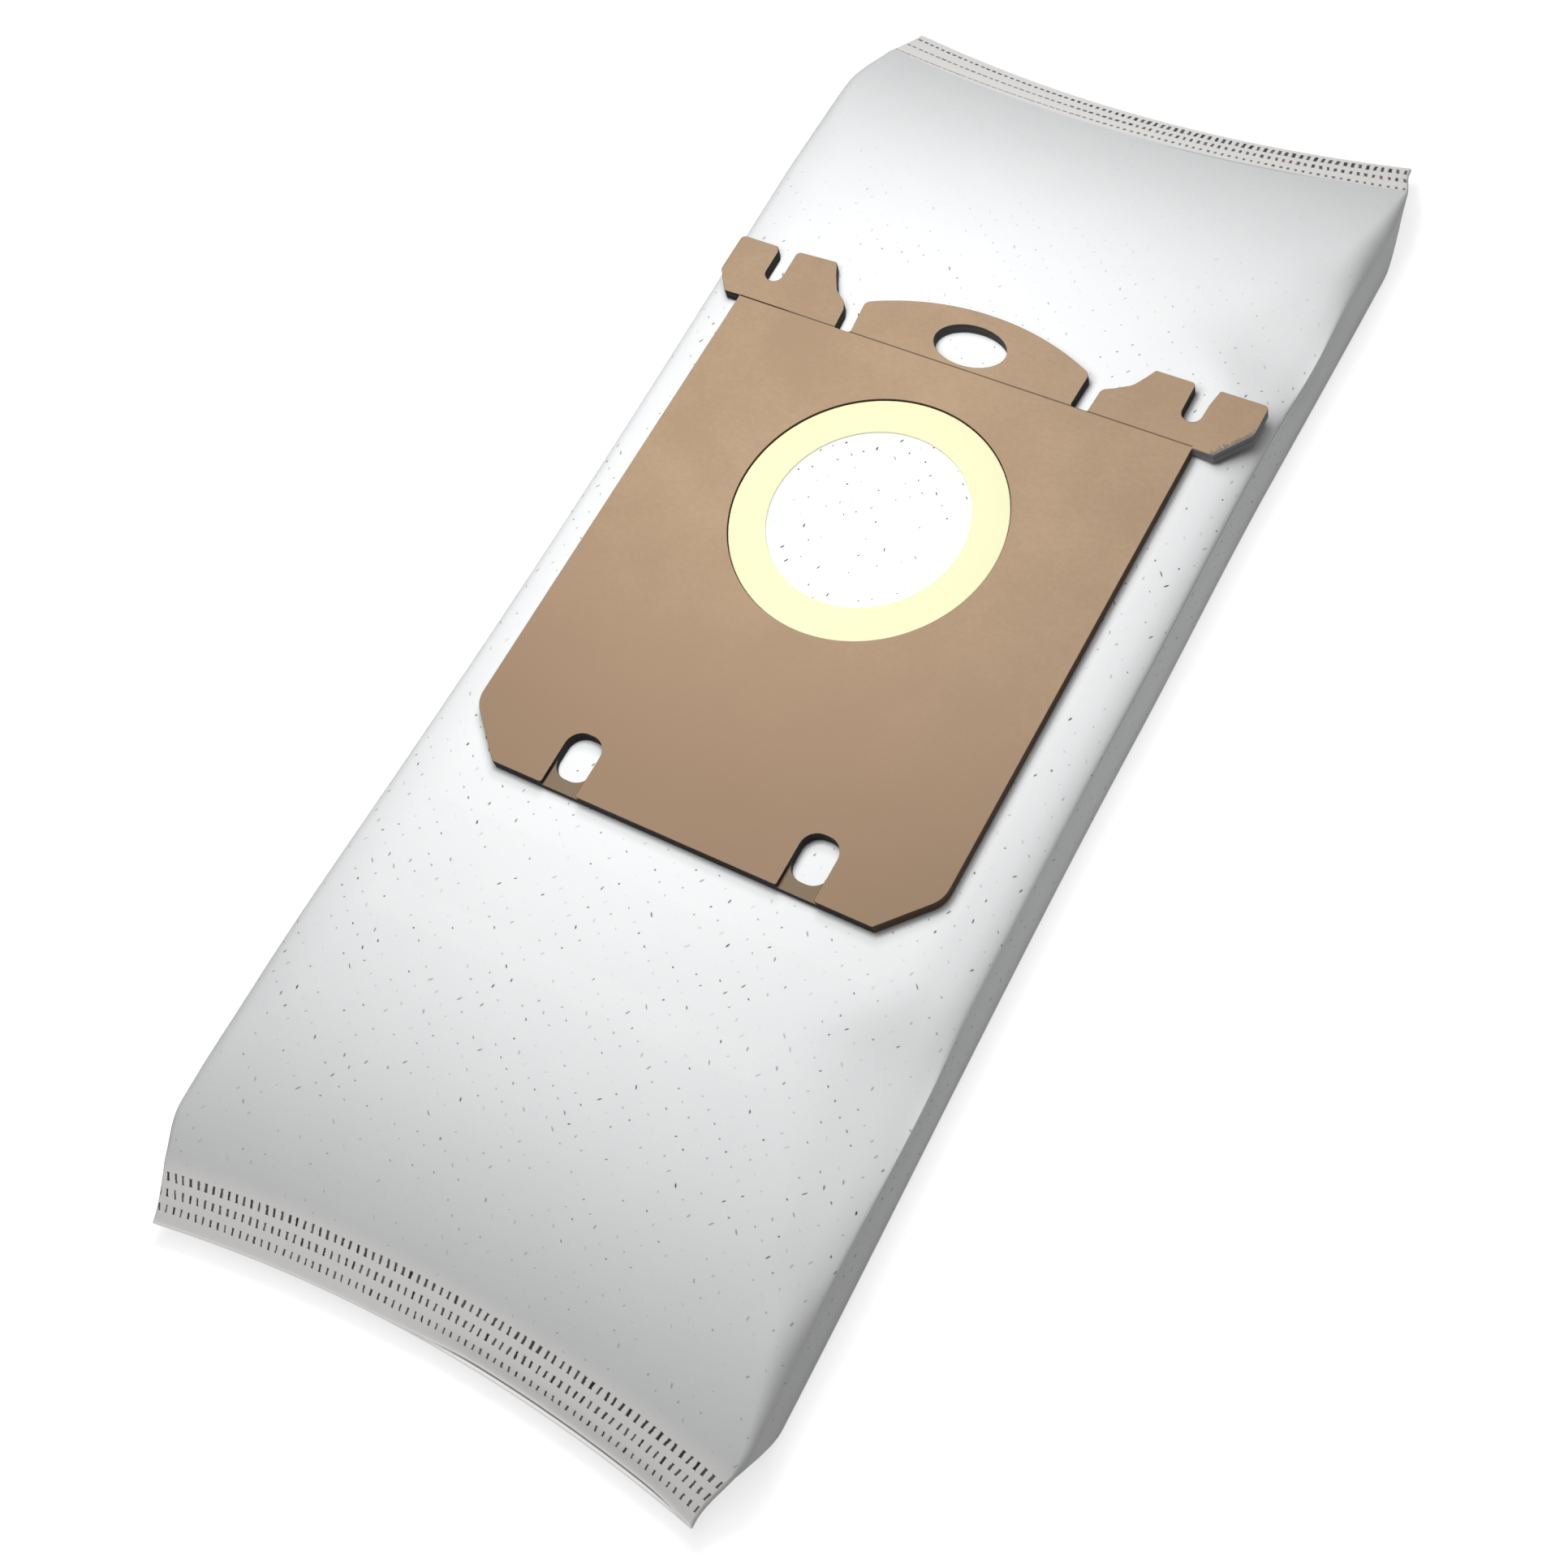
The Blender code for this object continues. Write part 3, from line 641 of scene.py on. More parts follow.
def noise(vector, scale, detail, rough=0.5):
    """Soft noise from 0 to 1, scale in patches to one unit of the vector."""
    values = {"Vector": vector, "Scale": scale, "Detail": detail, "Roughness": rough}
    return Signal(add_node(vector.tree, "TexNoise", values).outputs["Fac"])


def dice(cell):
    """Three random numbers from 0 to 1 for a cell, the same each time."""
    node = add_node(cell.tree, "TexWhiteNoise", {"Vector": cell}, noise_dimensions="3D")
    return split(Signal(node.outputs["Color"]))


def blend(share, first, second):
    """Mix of two colours by a share."""
    values = {"Factor": share, "A": first, "B": second}
    return Signal(add_node(share.tree, "Mix", values, data_type="RGBA").outputs["Result"])


def bump(height, strength, reach, **under):
    """Bumped normal from a height of 0 to 1 that stands for a reach in metres, over another one given as Normal."""
    values = {"Strength": strength, "Distance": reach, "Height": height, **under}
    return Signal(add_node(height.tree, "Bump", values).outputs["Normal"])


def new_group(name, inputs, outputs):
    """Shader node group with named sockets, inputs and outputs as {name: kind}."""
    tree = bpy.data.node_groups.new(name, "ShaderNodeTree")
    for way, sockets in (("INPUT", inputs), ("OUTPUT", outputs)):
        for label, kind in sockets.items():
            tree.interface.new_socket(label, in_out=way, socket_type="NodeSocket" + kind)
    return tree, signals(tree.nodes.new("NodeGroupInput")), tree.nodes.new("NodeGroupOutput").inputs


def use_group(group, **values):
    """Place a group beside the signals that it is given, and give back its outputs by name."""
    return signals(add_node(first_tree(values.values()), "Group", values, node_tree=group))


def new_material(name):
    """Material with its tree, its Principled shader's inputs, and the texture coordinates."""
    material = bpy.data.materials.new(name)
    material.use_nodes = True
    tree = material.node_tree
    return material, tree, tree.nodes["Principled BSDF"].inputs, signals(add_node(tree, "TexCoord", {}))


print("node helpers are ready")

# %% [markdown]
# ## Fine grain
# Fleece, board and rubber all have a fine grain over slow patches of tone, at different scales. That is one group with
# the size of the grain as its input: it gives a height for the bump and a tone to shift the colour by.

# %% Group: fine grain
grain_group, given, put = new_group("fine_grain", {"Vector": "Vector", "Grains": "Float", "Patches": "Float"},
                                    {"Height": "Float", "Tone": "Float"})
fine = noise(given["Vector"], given["Grains"], 3.0, 0.6)
slow = noise(given["Vector"], given["Patches"], 2.0)
feed(put, {"Height": fine * 0.8 + slow * 0.2, "Tone": fine * 0.35 + slow * 0.65})
print("group:", grain_group.name)

# %% [markdown]
# ## Bond points
# Non-woven fleece is held together by tiny points where heated pins pressed its fibres. They stand in a slanted
# lattice about 2.9 mm apart, and most are so faint that only some show as grey specks, fewer towards both ends. The
# group finds the nearest lattice point, rolls dice for its strength and shape, and gives a small spot or dash there.
# It works in millimetres, as every pattern below does.

# %% Group: bond points
LATTICE_A = (2.25, -1.88)
LATTICE_B = (0.25, 4.50)
SPOT_SHIFT = 0.5
bond_group, given, put = new_group("bond_points", {"Map": "Vector"}, {"Spot": "Float"})
area = LATTICE_A[0] * LATTICE_B[1] - LATTICE_A[1] * LATTICE_B[0]
u, v = [value * (1.0 / MM) for value in split(given["Map"])[:2]]
steps_a = u * (LATTICE_B[1] / area) + v * (-LATTICE_B[0] / area)
steps_b = u * (-LATTICE_A[1] / area) + v * (LATTICE_A[0] / area)
cell_a, cell_b = maths("ROUND", steps_a), maths("ROUND", steps_b)
off_a, off_b = steps_a - cell_a, steps_b - cell_b
chance, shift_x, shape = dice(combine(cell_a, cell_b, 3.0))
shift_y, lean, _ = dice(combine(cell_a, cell_b, 8.0))
du = off_a * LATTICE_A[0] + off_b * LATTICE_B[0] + (shift_x - 0.5) * SPOT_SHIFT
dv = off_a * LATTICE_A[1] + off_b * LATTICE_B[1] + (shift_y - 0.5) * SPOT_SHIFT
away = distance(du + dv * (lean * 1.8 - 0.9), dv * fade(shape, 0.40, 0.90, 1.0, 0.40))
worn = fade(v, 10.0, 55.0, 0.45, 1.0) * fade(v, 225.0, 282.0, 1.0, 0.12)
feed(put, {"Spot": fall(away, 0.12, 0.23) * (chance ** 2.2 * worn)})
print("group:", bond_group.name, "with a point for every", round(area, 2), "square millimetres")

# %% [markdown]
# ## Weld marks
# The ribs of the welding bar leave three rows of short dark marks along each end strip, 75 to a row, like little
# upright bars with feet. Their lattice follows the strip's own map, which spreads with the strip, so the marks fan out
# as they do on the bag. On the tab strip they are blocks to the right and lie down to long dashes on the left half.
# Dice shift, lean and widen each one.

# %% Group: weld marks, their lattice
WELD_PITCH = 1.63
ROW_PITCH = 2.9
LAST_ROW = 2.0
FAR_MARGIN = 3.0
TAB_MARGIN = 2.2
SPREAD_REACH = 61.0
weld_group, given, put = new_group("weld_marks", {"Map": "Vector"},
                                   {"Mark": "Float", "Strip": "Float", "Gap_shade": "Float", "Edge": "Float"})
u, v = [value * (1.0 / MM) for value in split(given["Map"])[:2]]
depth = maths("MINIMUM", v, BAG_LENGTH / MM - v)
at_tab = maths("GREATER_THAN", v, BAG_LENGTH / MM / 2)
at_far = 1.0 - at_tab
local = depth - (at_tab * (TAB_MARGIN - FAR_MARGIN) + FAR_MARGIN)
outward = abs(u / SPREAD_REACH) ** 2.0
pitch = at_tab * (outward * 0.95 - 0.15) + (outward * -0.30 + ROW_PITCH)
row = maths("MINIMUM", maths("MAXIMUM", maths("ROUND", local / pitch), 0.0), LAST_ROW)
column = maths("ROUND", u / WELD_PITCH)
du, dv = u - column * WELD_PITCH, local - row * pitch
seed = row + at_tab * 7.0
shift, lean, feet = dice(combine(column, seed, 1.0))
fat, dark, tall = dice(combine(column, seed, 5.0))
wobble = noise(combine(u, v, seed), 2.2, 2.0)
du = du + (shift * 0.16 - 0.08) + dv * (lean * 0.24 - 0.12) + (wobble * 0.30 - 0.15)
lying = at_tab * fall(u, -28.0, 14.0)
standing = at_tab - lying
print("lattice of marks:", WELD_PITCH, "by", ROW_PITCH, "mm")


# %% Group: weld marks, their form
def by_place(*sizes):
    """A size as (first row's, change a row) on the far strip, on the tab strip's right half and on its left half."""
    parts = [share * (row * change + first) for share, (first, change) in zip((at_far, standing, lying), sizes)]
    return parts[0] + parts[1] + parts[2]


half_long = by_place((0.62, 0.05), (0.90, -0.24), (0.26, -0.05)) * (tall * 0.20 + 0.90)
reach = abs(dv) / half_long
foot = reach ** 6.0 * (feet * 0.14)
half_wide = by_place((0.165, 0.032), (0.33, -0.03), (0.42, 0.12)) * (fat * 0.40 + 0.80) + foot
body = fall(abs(du) - half_wide, -0.04, 0.05) * fall(reach, 0.90, 1.08)
ink = by_place((0.97, 0.015), (1.0, -0.06), (1.0, -0.18)) * (dark * 0.15 + 0.85)
mark = body * ink * maths("LESS_THAN", abs(u), STRIP_WIDTH / MM / 2 - 0.3)

# The strip is paler than the bag, and fades out more slowly at the far end. Painted shade darkens the gap between the
# two plies and the pucker, a thin crease along the inner edge of the tab strip. Edge marks the cut edges for a painted
# glow.
TAB_STRIP_LESS = 1.2
strip_start, strip_stop = at_far * -2.0 + (STRIP_DEPTH / MM - 0.3), at_far * 1.8 + (STRIP_DEPTH / MM + 0.5)
strip = fall(at_tab * TAB_STRIP_LESS + depth, strip_start, strip_stop)
ply_gap_shade = fall(depth, -0.24, -0.10) * fade(depth, -0.75, -0.50) * fade(u, -13.0, -8.0)
PUCKER_DEPTH = 9.9
pucker_shade = at_tab * fade(abs(depth - PUCKER_DEPTH), 0.06, 0.20, 0.5, 0.0) * (fade(u, 6.0, 14.0) * fall(u, 34.0, 46.0))
feed(put, {"Mark": mark, "Strip": strip, "Gap_shade": maths("MAXIMUM", ply_gap_shade, pucker_shade), "Edge": fall(depth, 0.10, 0.45)})
print("group:", weld_group.name)

# %% [markdown]
# ## White fleece
# The fleece is matt and white. Its fibres show only as a faint felt, so the bump is low and the tone moves by a
# hundredth or two. The pressed strips are paler and a little warmer, and the marks on them are nearly black. The inner
# face, marked by an attribute, and the cut edges are given a painted glow, an emission that stands in for light
# through the thin cloth. Another attribute is the way from the fold at the top of the right side wall, along which a
# thin crease by the collar is painted as shade, as is the gap between the plies.

# %% Material: fleece
CLOTH_DULL, CLOTH_BRIGHT = (0.805, 0.812, 0.818), (0.845, 0.850, 0.856)
PRESSED = (0.985, 0.965, 0.945)
SPECK = (0.05, 0.05, 0.052)
WELD_INK = (0.012, 0.012, 0.013)
GAP_SHADE = (0.06, 0.06, 0.06)
CREASE_SHADE = (0.30, 0.30, 0.30)
PAINTED_CLOTH_GLOW = 0.335
fleece, tree, shader, coordinates = new_material("white_fleece")
cloth_map, weld_map = [Signal(add_node(tree, "UVMap", {}, uv_map=name).outputs[0])
                       for name in ("cloth_map", "weld_map")]
inner_face, fold_way = [Signal(add_node(tree, "Attribute", {}, attribute_name=name).outputs["Fac"])
                        for name in ("inner_face", "fold_way")]
grain = use_group(grain_group, Vector=coordinates["Object"], Grains=1900.0, Patches=90.0)
spots = use_group(bond_group, Map=cloth_map)["Spot"]
welds = use_group(weld_group, Map=weld_map)
way_along = split(cloth_map)[1]
specks = maths("MINIMUM", spots * (1.0 - welds["Strip"]) * (inner_face + 1.0), 1.0)
# Painted shade along the thin crease at the fold by the collar.
crease_shade = fall(fold_way, 0.00004, 0.00028) * (fade(way_along, 0.130, 0.175) * fall(way_along, 0.235, 0.268))
colour = blend(grain["Tone"], CLOTH_DULL, CLOTH_BRIGHT)
for share, tone in ((welds["Strip"] * 0.9, PRESSED), (specks * 0.95, SPECK), (welds["Mark"], WELD_INK),
                    (welds["Gap_shade"] * 0.75, GAP_SHADE), (crease_shade * 0.6, CREASE_SHADE)):
    colour = blend(share, colour, tone)
# Painted glow: the inner face and the cut edges give off light in the fleece's own colour.
painted_glow_share = maths("MAXIMUM", inner_face, welds["Edge"] * 0.8)
felt = bump(grain["Height"], 0.25, 0.00010)
dents = 1.0 - maths("MAXIMUM", welds["Mark"], specks * 0.8)
feed(shader, {"Base Color": colour, "Roughness": fade(welds["Strip"], 0.0, 1.0, 0.92, 0.78), "Sheen Weight": 0.08,
              "Sheen Roughness": 0.5, "Specular IOR Level": 0.2, "Normal": bump(dents, 0.6, 0.00025, Normal=felt),
              "Emission Color": blend(painted_glow_share, (0.0, 0.0, 0.0), colour), "Emission Strength": PAINTED_CLOTH_GLOW})
bag.data.materials.append(fleece)
print("material:", fleece.name)

# %% [markdown]
# ## Outline of the collar
# Both boards are punched from kraft board with one outline: a body with two cut corners at its foot, and above a score
# line two lugs with notches and a pull tab between them. The outline is a list of corners with a rounding radius each.
# Arcs are worked out for all corners at once. Each side has its own list, as the photographed collar is a little askew.

# %% Rounded outlines
ARC_POINTS = 9


def rounded(corners):
    """Outline through (x, y, radius) corners: at each one an arc that touches both sides.

    An arc starts r / tan(half angle) before its corner, and its centre lies r / sin(half angle) from it.
    """
    corners = np.array(corners)
    here, radius = corners[:, :2], np.maximum(corners[:, 2], 1e-6)
    before, after = np.roll(here, 1, axis=0) - here, np.roll(here, -1, axis=0) - here
    room = 0.49 * np.minimum(np.hypot(*before.T), np.hypot(*after.T))
    before /= np.hypot(*before.T)[:, None]
    after /= np.hypot(*after.T)[:, None]
    half_angle = np.arccos(np.clip((before * after).sum(axis=1), -1.0, 1.0)) / 2
    reach = np.minimum(radius / np.tan(half_angle), room)
    radius = reach * np.tan(half_angle)
    way = before + after
    way /= np.maximum(np.hypot(*way.T), 1e-9)[:, None]
    centre = here + way * (radius / np.sin(half_angle))[:, None]
    start = np.arctan2(*(here + before * reach[:, None] - centre).T[::-1])
    stop = np.arctan2(*(here + after * reach[:, None] - centre).T[::-1])
    sweep = (stop - start + np.pi) % (2 * np.pi) - np.pi
    angle = start[:, None] + sweep[:, None] * np.linspace(0.0, 1.0, ARC_POINTS)
    arc = centre[:, None] + radius[:, None, None] * np.stack([np.cos(angle), np.sin(angle)], axis=2)
    points = arc.reshape(-1, 2)
    return points[np.hypot(*(points - np.roll(points, 1, axis=0)).T) > 2e-5]


def ring_outline(x, y, width, height, steps):
    """Ellipse about (x, y): half the width times cos, half the height times sin; a circle where they are equal."""
    angle = np.linspace(0.0, 2 * np.pi, steps, endpoint=False)
    return np.stack([x + width / 2 * np.cos(angle), y + height / 2 * np.sin(angle)], axis=1)


print("a square with round corners has", len(rounded([(0, 0, 0.2), (1, 0, 0.2), (1, 1, 0.2), (0, 1, 0.2)])), "points")

# %% Collar outline
BODY_FOOT = -0.0781
TAB_WIDTH = 0.0520
TAB_TOP = 0.0535
TAB_SHOULDER = 0.0474
TAB_SOFT = 0.0016
TAB_STEPS = 12
SLOT_X = 0.0266
SLOT_WIDTH = 0.0081
SLOT_TOP = -0.0653
SLOT_BOTTOM = -0.0752
SLOT_ROUNDING = 0.0035


def tab_arc():
    """Corners along the right half of the tab's top, on the circle through its shoulders and its highest point."""
    half, rise = TAB_WIDTH / 2, TAB_TOP - TAB_SHOULDER
    radius = (half**2 + rise**2) / (2 * rise)
    x = half * (1.0 - np.arange(TAB_STEPS) / TAB_STEPS)
    y = TAB_TOP - radius + np.sqrt(radius**2 - x**2)
    soft = np.where(np.arange(TAB_STEPS) == 0, TAB_SOFT, 0.0)
    return np.stack([x, y, soft], axis=1).tolist()


# The two sides of the real collar are not quite alike: the right lug reaches further out and sits lower.
RIGHT_SIDE = [(0.0430, BODY_FOOT, 0.0005),
              (0.0525, -0.0678, 0.0060), (0.0525, 0.0385, 0.0003), (0.0570, 0.0384, 0.0005),
              (0.0624, 0.0456, 0.0020), (0.0624, 0.0530, 0.0010), (0.0520, 0.0530, 0.0005), (0.0513, 0.0490, 0.0010),
              (0.0511, 0.0441, 0.0020), (0.0469, 0.0441, 0.0020), (0.0468, 0.0530, 0.0010), (0.0380, 0.0530, 0.0005),
              (0.0370, 0.0510, 0.0030), (0.0352, 0.0480, 0.0040), (0.0320, 0.0460, 0.0040), (0.0298, 0.0449, 0.0015),
              (0.0295, 0.0390, 0.0004), (0.0257, 0.0390, 0.0006)]
LEFT_SIDE = [(0.0422, BODY_FOOT, 0.0005),
             (0.0525, -0.0678, 0.0060), (0.0525, 0.0394, 0.0003), (0.0563, 0.0393, 0.0005),
             (0.0600, 0.0442, 0.0020), (0.0600, 0.0538, 0.0010), (0.0510, 0.0538, 0.0005), (0.0503, 0.0525, 0.0010),
             (0.0502, 0.0451, 0.0020), (0.0461, 0.0451, 0.0020), (0.0462, 0.0540, 0.0010), (0.0368, 0.0545, 0.0005),
             (0.0352, 0.0513, 0.0030), (0.0332, 0.0479, 0.0030), (0.0302, 0.0457, 0.0025), (0.0294, 0.0438, 0.0010),
             (0.0290, 0.0391, 0.0004), (0.0253, 0.0391, 0.0006)]


def collar_outline(open_slots):
    """Outline of a board about the inlet's middle, its two locating slots open at the foot or not there."""
    near, far = SLOT_X - SLOT_WIDTH / 2, SLOT_X + SLOT_WIDTH / 2
    slot = [(near, BODY_FOOT, 0.0005), (near, SLOT_TOP, SLOT_ROUNDING), (far, SLOT_TOP, SLOT_ROUNDING),
            (far, BODY_FOOT, 0.0005)]
    right_half, left_half = [(slot if open_slots else []) + side + tab_arc() for side in (RIGHT_SIDE, LEFT_SIDE)]
    return rounded(right_half + [(0.0, TAB_TOP, 0.0)] + [(-x, y, soft) for x, y, soft in left_half[::-1]])


def closed_slot(side):
    """Outline of a closed locating slot in the back board."""
    near, far = side * SLOT_X - SLOT_WIDTH / 2, side * SLOT_X + SLOT_WIDTH / 2
    return rounded([(near, SLOT_BOTTOM, SLOT_ROUNDING), (far, SLOT_BOTTOM, SLOT_ROUNDING),
                    (far, SLOT_TOP, SLOT_ROUNDING), (near, SLOT_TOP, SLOT_ROUNDING)])


print("points in the front board's outline:", len(collar_outline(True)))

# %% [markdown]
# ## Two punched boards
# A filled flat curve makes such a board well: it keeps its holes round, gets its thickness from extrude, and its
# bevel softens the punched edge by an eighth of a millimetre. It is turned into a mesh before it is put in its place.

# %% Boards
EDGE_SOFT = 0.00013
BACK_OPENING = 0.0480
FRONT_OPENING = 0.0573
FINGER_HOLE_Y = 0.0450
BOARD_GAP = 0.00005
FINGER_HOLE = ring_outline(0.0, FINGER_HOLE_Y, 0.0162, 0.0100, 72)
back_low, back_high = [float(corner[2]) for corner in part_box("back_board")]
front_high = float(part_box("front_board")[1][2])
front_low = back_high + BOARD_GAP


def make_board(name, outlines, low, high):
    """Board between two heights: filled outlines, extruded, its rim rounded by a bevel inside the outline."""
    curve = bpy.data.curves.new(name, "CURVE")
    curve.dimensions = "2D"
    curve.fill_mode = "BOTH"
    curve.extrude = (high - low) / 2 - EDGE_SOFT
    curve.bevel_depth = EDGE_SOFT
    curve.bevel_resolution = 2
    curve.offset = -EDGE_SOFT
    for outline in outlines:
        spline = curve.splines.new("POLY")
        spline.points.add(len(outline) - 1)
        flat_points = np.column_stack([outline, np.zeros(len(outline)), np.ones(len(outline))])
        spline.points.foreach_set("co", flat_points.ravel())
        spline.use_cyclic_u = True
    drawing = bpy.data.objects.new(name + "_drawing", curve)
    PIECES.objects.link(drawing)
    bpy.context.view_layer.update()
    mesh = bpy.data.meshes.new_from_object(drawing.evaluated_get(bpy.context.evaluated_depsgraph_get()))
    bpy.data.objects.remove(drawing, do_unlink=True)
    mesh.transform(Matrix.Translation((0.0, INLET_Y, (low + high) / 2)))
    board = bpy.data.objects.new(name, mesh)
    PIECES.objects.link(board)
    return board


back_holes = [ring_outline(0.0, 0.0, BACK_OPENING, BACK_OPENING, 160), FINGER_HOLE, closed_slot(-1), closed_slot(1)]
front_holes = [ring_outline(0.0, 0.0, FRONT_OPENING, FRONT_OPENING, 192), FINGER_HOLE]
back_board = make_board("back_board_punched", [collar_outline(False)] + back_holes, back_low, back_high)
front_board = make_board("front_board_punched", [collar_outline(True)] + front_holes, front_low, front_high)
for board, node in ((back_board, "back_board"), (front_board, "front_board")):
    print("edges left open:", tidy_shell(board, merge=2e-6, level=0.99))
    report(board)
    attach(board, "root")
    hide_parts(node)

# %% [markdown]
# ## Kraft board
# The board's face is brown paper: mottled by its pulp, with fine fibres across it, and darkened towards the foot and
# on the back board by painted shade. Where it was punched, the edge shows raw board, with painted shade that makes it
# nearly black. The lugs bend at a score line, a narrow groove with painted shade in it, which has cracked open by the
# left lug, where the crack is painted black as shade. The right lug is scuffed grey along its cut corner. All of it
# reads Object coordinates, so it lies still on the board.

# %% Group: punched edge
edge_group, given, put = new_group("punched_edge", {"Normal": "Vector"}, {"Edge": "Float"})
feed(put, {"Edge": fall(abs(split(given["Normal"])[2]), 0.45, 0.9)})
print("group:", edge_group.name)

# %% Material: kraft board, its paper
SCORE_Y = (INLET_Y + 0.0391) / MM
SCORE_TILT = -0.0045
BODY_EDGE = 52.2
PAPER_DARK, PAPER_LIGHT = (0.345, 0.240, 0.153), (0.400, 0.284, 0.184)
FIBRE = (0.32, 0.218, 0.136)
PAINTED_SHADE_AT_FOOT = (0.300, 0.202, 0.130)
BACK_BOARD_SHADE = (0.162, 0.128, 0.086)
SCORE_SHADE = (0.085, 0.054, 0.034)
CRACK_SHADE = (0.008, 0.006, 0.005)
SCUFF_GREY = (0.15, 0.145, 0.15)
kraft, tree, shader, coordinates = new_material("kraft_board_paper")
x, y, z = [value * (1.0 / MM) for value in split(coordinates["Object"])]
grain = use_group(grain_group, Vector=coordinates["Object"], Grains=900.0, Patches=60.0)
fibres = noise(combine(x * 0.35, y * 2.2, z), 1.0, 3.0, 0.65)
# The back board is painted darker, as shade in the recesses of the open slots where it shows.
on_back_board = fall(z, back_high / MM - 0.02, back_high / MM + 0.03)

from_score = abs(y - (x * SCORE_TILT + SCORE_Y))
between = fall(abs(x), BODY_EDGE, BODY_EDGE + 0.4)
# Painted shade in the score groove, and nearly black painted shade in its crack by the left lug.
groove = fall(from_score, 0.05, 0.17) * between
crack = fall(from_score, 0.10, 0.20) * fall(x, -43.0, -37.0) * between

above_score = fade(y, SCORE_Y - 1.3, SCORE_Y - 0.9)
on_right_lug = above_score * fade(x, BODY_EDGE, BODY_EDGE + 0.6)
fray = noise(coordinates["Object"], 1500.0, 3.0, 0.7)
from_cut = x * -0.8 + y * 0.6 + 7.2
scuff = fall(from_cut + (fray * 4.0 - 2.0), 0.45, 1.15)

paper = blend(fade(grain["Tone"], 0.32, 0.68), PAPER_DARK, PAPER_LIGHT)
# Painted shade: darker towards the foot, on the back board, in the score groove and in its crack.
for share, tone in ((fade(fibres, 0.35, 0.75, 0.0, 0.25), FIBRE), (fall(y, -52.0, 28.0), PAINTED_SHADE_AT_FOOT),
                    (on_back_board, BACK_BOARD_SHADE), (groove * 0.75, SCORE_SHADE), (crack, CRACK_SHADE),
                    (scuff * on_right_lug * 0.8, SCUFF_GREY)):
    paper = blend(share, paper, tone)
print("score line at y =", round(SCORE_Y, 1), "mm")

# %% Material: kraft board, its punched walls
# They carry painted shade: nearly black in the notches, at the foot and where they don't face right along the body,
# brown along the body where they face right and round the inlet, and grey on the right lug.
WALL_PAINTED_SHADE, WALL_BROWN = (0.006, 0.005, 0.005), (0.060, 0.033, 0.018)
WALL_GREY = (0.17, 0.17, 0.178)
FINGER_WALL_GREY = (0.034, 0.034, 0.036)
faces_right = split(coordinates["Normal"])[0]
body_wall = fade(x, 40.0, 43.5) * (1.0 - above_score) * fade(faces_right, 0.2, 0.5)
inlet_wall = fall(distance(x, y - INLET_Y / MM), 30.0, 31.0)
finger_wall = fall(distance(x, y - (INLET_Y + FINGER_HOLE_Y) / MM), 8.7, 9.4)
wall_colour_and_shade = blend(maths("MAXIMUM", body_wall, inlet_wall), WALL_PAINTED_SHADE, WALL_BROWN)
wall_colour_and_shade = blend(finger_wall, blend(on_right_lug, wall_colour_and_shade, WALL_GREY), FINGER_WALL_GREY)
punched = use_group(edge_group, Normal=coordinates["Normal"])["Edge"]
pulp = bump(grain["Height"], 0.35, 0.00006)
feed(shader, {"Base Color": blend(punched, paper, wall_colour_and_shade), "Roughness": fade(grain["Tone"], 0.3, 0.7, 0.74, 0.86),
              "Specular IOR Level": 0.25, "Normal": bump(1.0 - groove, 0.8, 0.00030, Normal=pulp)})
for board in (back_board, front_board):
    board.data.materials.clear()
    board.data.materials.append(kraft)
print("material:", kraft.name)

# %% [markdown]
# ## Seal ring
# The ring is a flat collar of soft rubber. Its profile is a slim rounded oblong carried once round the inlet, which is
# a grid with one way round the profile and the other round the ring.

# %% Ring as a turned profile
RING_INNER = 0.0208
RING_OUTER = 0.0285
RING_SOFT = 0.00018
RING_STEPS = 160
seal_low, seal_high = [float(corner[2]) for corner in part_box("seal_ring")]
profile = rounded([(RING_INNER, seal_low, RING_SOFT), (RING_OUTER, seal_low, RING_SOFT),
                   (RING_OUTER, seal_high, RING_SOFT), (RING_INNER, seal_high, RING_SOFT)])
steps_round = len(profile)
turns = np.linspace(0.0, 2 * np.pi, RING_STEPS, endpoint=False)[:, None]
radius, height = profile[:, 0], np.broadcast_to(profile[:, 1], (RING_STEPS, steps_round))
ring_points = np.stack([radius * np.cos(turns), radius * np.sin(turns) + INLET_Y, height], axis=2)
turn_at, round_at = np.meshgrid(np.arange(RING_STEPS), np.arange(steps_round), indexing="ij")
next_turn, next_round = (turn_at + 1) % RING_STEPS, (round_at + 1) % steps_round
ring_corners = ((turn_at, round_at), (next_turn, round_at), (next_turn, next_round), (turn_at, next_round))
ring_quads = np.stack([by_turn * steps_round + by_step for by_turn, by_step in ring_corners], axis=2)
seal = add_piece("seal_ring_turned", ring_points, ring_quads)
print("edges left open:", tidy_shell(seal))
report(seal)
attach(seal, "root")
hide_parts("seal_ring")

# %% Material: pale rubber
rubber, tree, shader, coordinates = new_material("pale_rubber")
grain = use_group(grain_group, Vector=coordinates["Object"], Grains=1500.0, Patches=120.0)
feed(shader, {"Base Color": blend(grain["Tone"], (0.735, 0.724, 0.450), (0.765, 0.756, 0.490)),
              "Roughness": fade(grain["Tone"], 0.3, 0.7, 0.5, 0.6), "Specular IOR Level": 0.3,
              "Normal": bump(grain["Height"], 0.15, 0.00004)})
seal.data.materials.append(rubber)
print("material:", rubber.name)

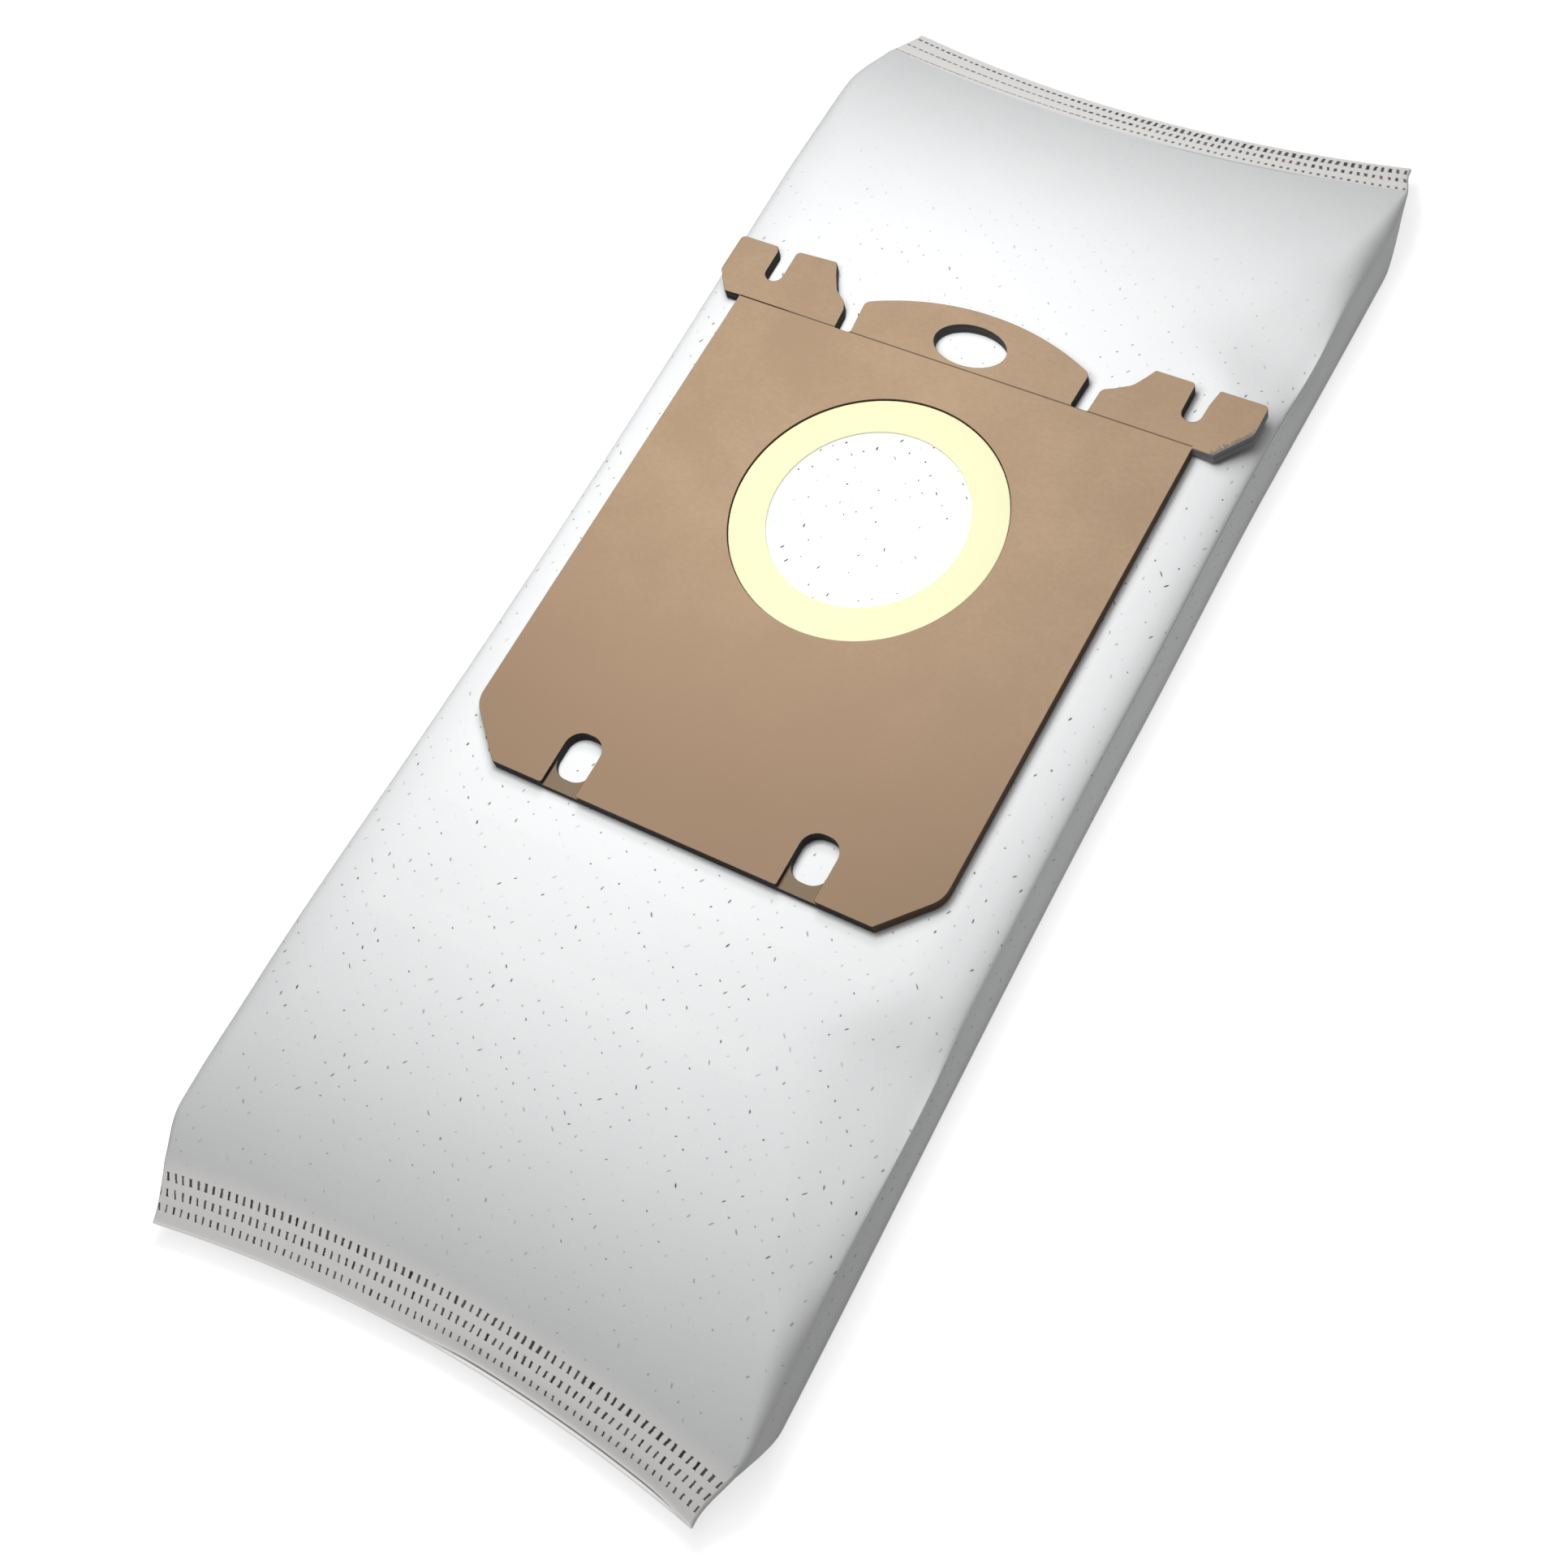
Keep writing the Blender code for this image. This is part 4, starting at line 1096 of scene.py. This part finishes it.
# %% [markdown]
# ## Floor, world and lamps
# The object lies on a plain white floor. To the camera the floor is nearly white by itself, through Light Path, and
# still darkens where the bag keeps the light off it. Four small lamps hang close above the collar, so the light falls
# off to both ends of the bag. One large lamp high up and a dim world fill the sides.

# %% Floor
FLOOR_REACH = 3.0
FLOOR_HEIGHT = -0.0003
FLOOR_GLOW = 0.68


def seen_share(tree):
    """One for rays from the camera, off gloss or through glass, and zero for light that falls on the object."""
    rays = signals(add_node(tree, "LightPath", {}))
    return maths("MINIMUM", rays["Is Camera Ray"] + rays["Is Glossy Ray"] + rays["Is Transmission Ray"], 1.0)


floor_mesh = bpy.data.meshes.new("floor")
floor_mesh.from_pydata([(side_x * FLOOR_REACH, side_y * FLOOR_REACH, FLOOR_HEIGHT)
                        for side_x, side_y in ((-1, -1), (1, -1), (1, 1), (-1, 1))], [], [(0, 1, 2, 3)])
floor = bpy.data.objects.new("floor", floor_mesh)
bpy.context.scene.collection.objects.link(floor)
white, tree, shader, _ = new_material("white_floor")
feed(shader, {"Base Color": (0.80, 0.80, 0.80), "Roughness": 0.9})
glow = add_node(tree, "Emission", {"Strength": seen_share(tree) * FLOOR_GLOW})
lit = Signal(tree.nodes["Principled BSDF"].outputs[0])
both = add_node(tree, "AddShader", {0: lit, 1: Signal(glow.outputs[0])})
place(tree.nodes["Material Output"].inputs["Surface"], Signal(both.outputs[0]))
floor.data.materials.append(white)
print("floor glow:", FLOOR_GLOW)

# %% World
WORLD_FILL = 0.094
world = bpy.data.worlds.new("studio")
bpy.context.scene.world = world
world.use_nodes = True
tree = world.node_tree
tree.nodes.clear()
strength = fade(seen_share(tree), 0.0, 1.0, WORLD_FILL, 1.0)
background = add_node(tree, "Background", {"Color": (1.0, 1.0, 1.0), "Strength": strength})
add_node(tree, "OutputWorld", {"Surface": Signal(background.outputs[0])})
print("world fill:", WORLD_FILL)


# %% Lamps
def lamp(name, place_at, aim_at, size, power):
    """Square area lamp that looks at a point."""
    light = bpy.data.lights.new(name, "AREA")
    light.size = size
    light.energy = power
    thing = bpy.data.objects.new(name, light)
    thing.location = place_at
    thing.rotation_euler = (Vector(aim_at) - Vector(place_at)).to_track_quat("-Z", "Y").to_euler()
    bpy.context.scene.collection.objects.link(thing)


NEAR_LAMPS = ((-0.03, -0.03, 0.20, 0.141), (-0.03, 0.09, 0.20, 0.140), (0.02, 0.00, 0.20, 0.057),
              (-0.01, 0.03, 0.28, 0.156))
for number, (lamp_x, lamp_y, lamp_z, power) in enumerate(NEAR_LAMPS):
    lamp("near_%d" % (number + 1), (lamp_x, lamp_y, lamp_z), (lamp_x, lamp_y, 0.0), 0.08, power)
lamp("high", (0.0, 0.0, 1.2), (0.0, 0.0, 0.0), 0.8, 3.14)

# %% [markdown]
# ## Closing
# The picture keeps colours as they are written, through the plain Standard view.

# %% Finish
bpy.context.scene.view_settings.view_transform = "Standard"
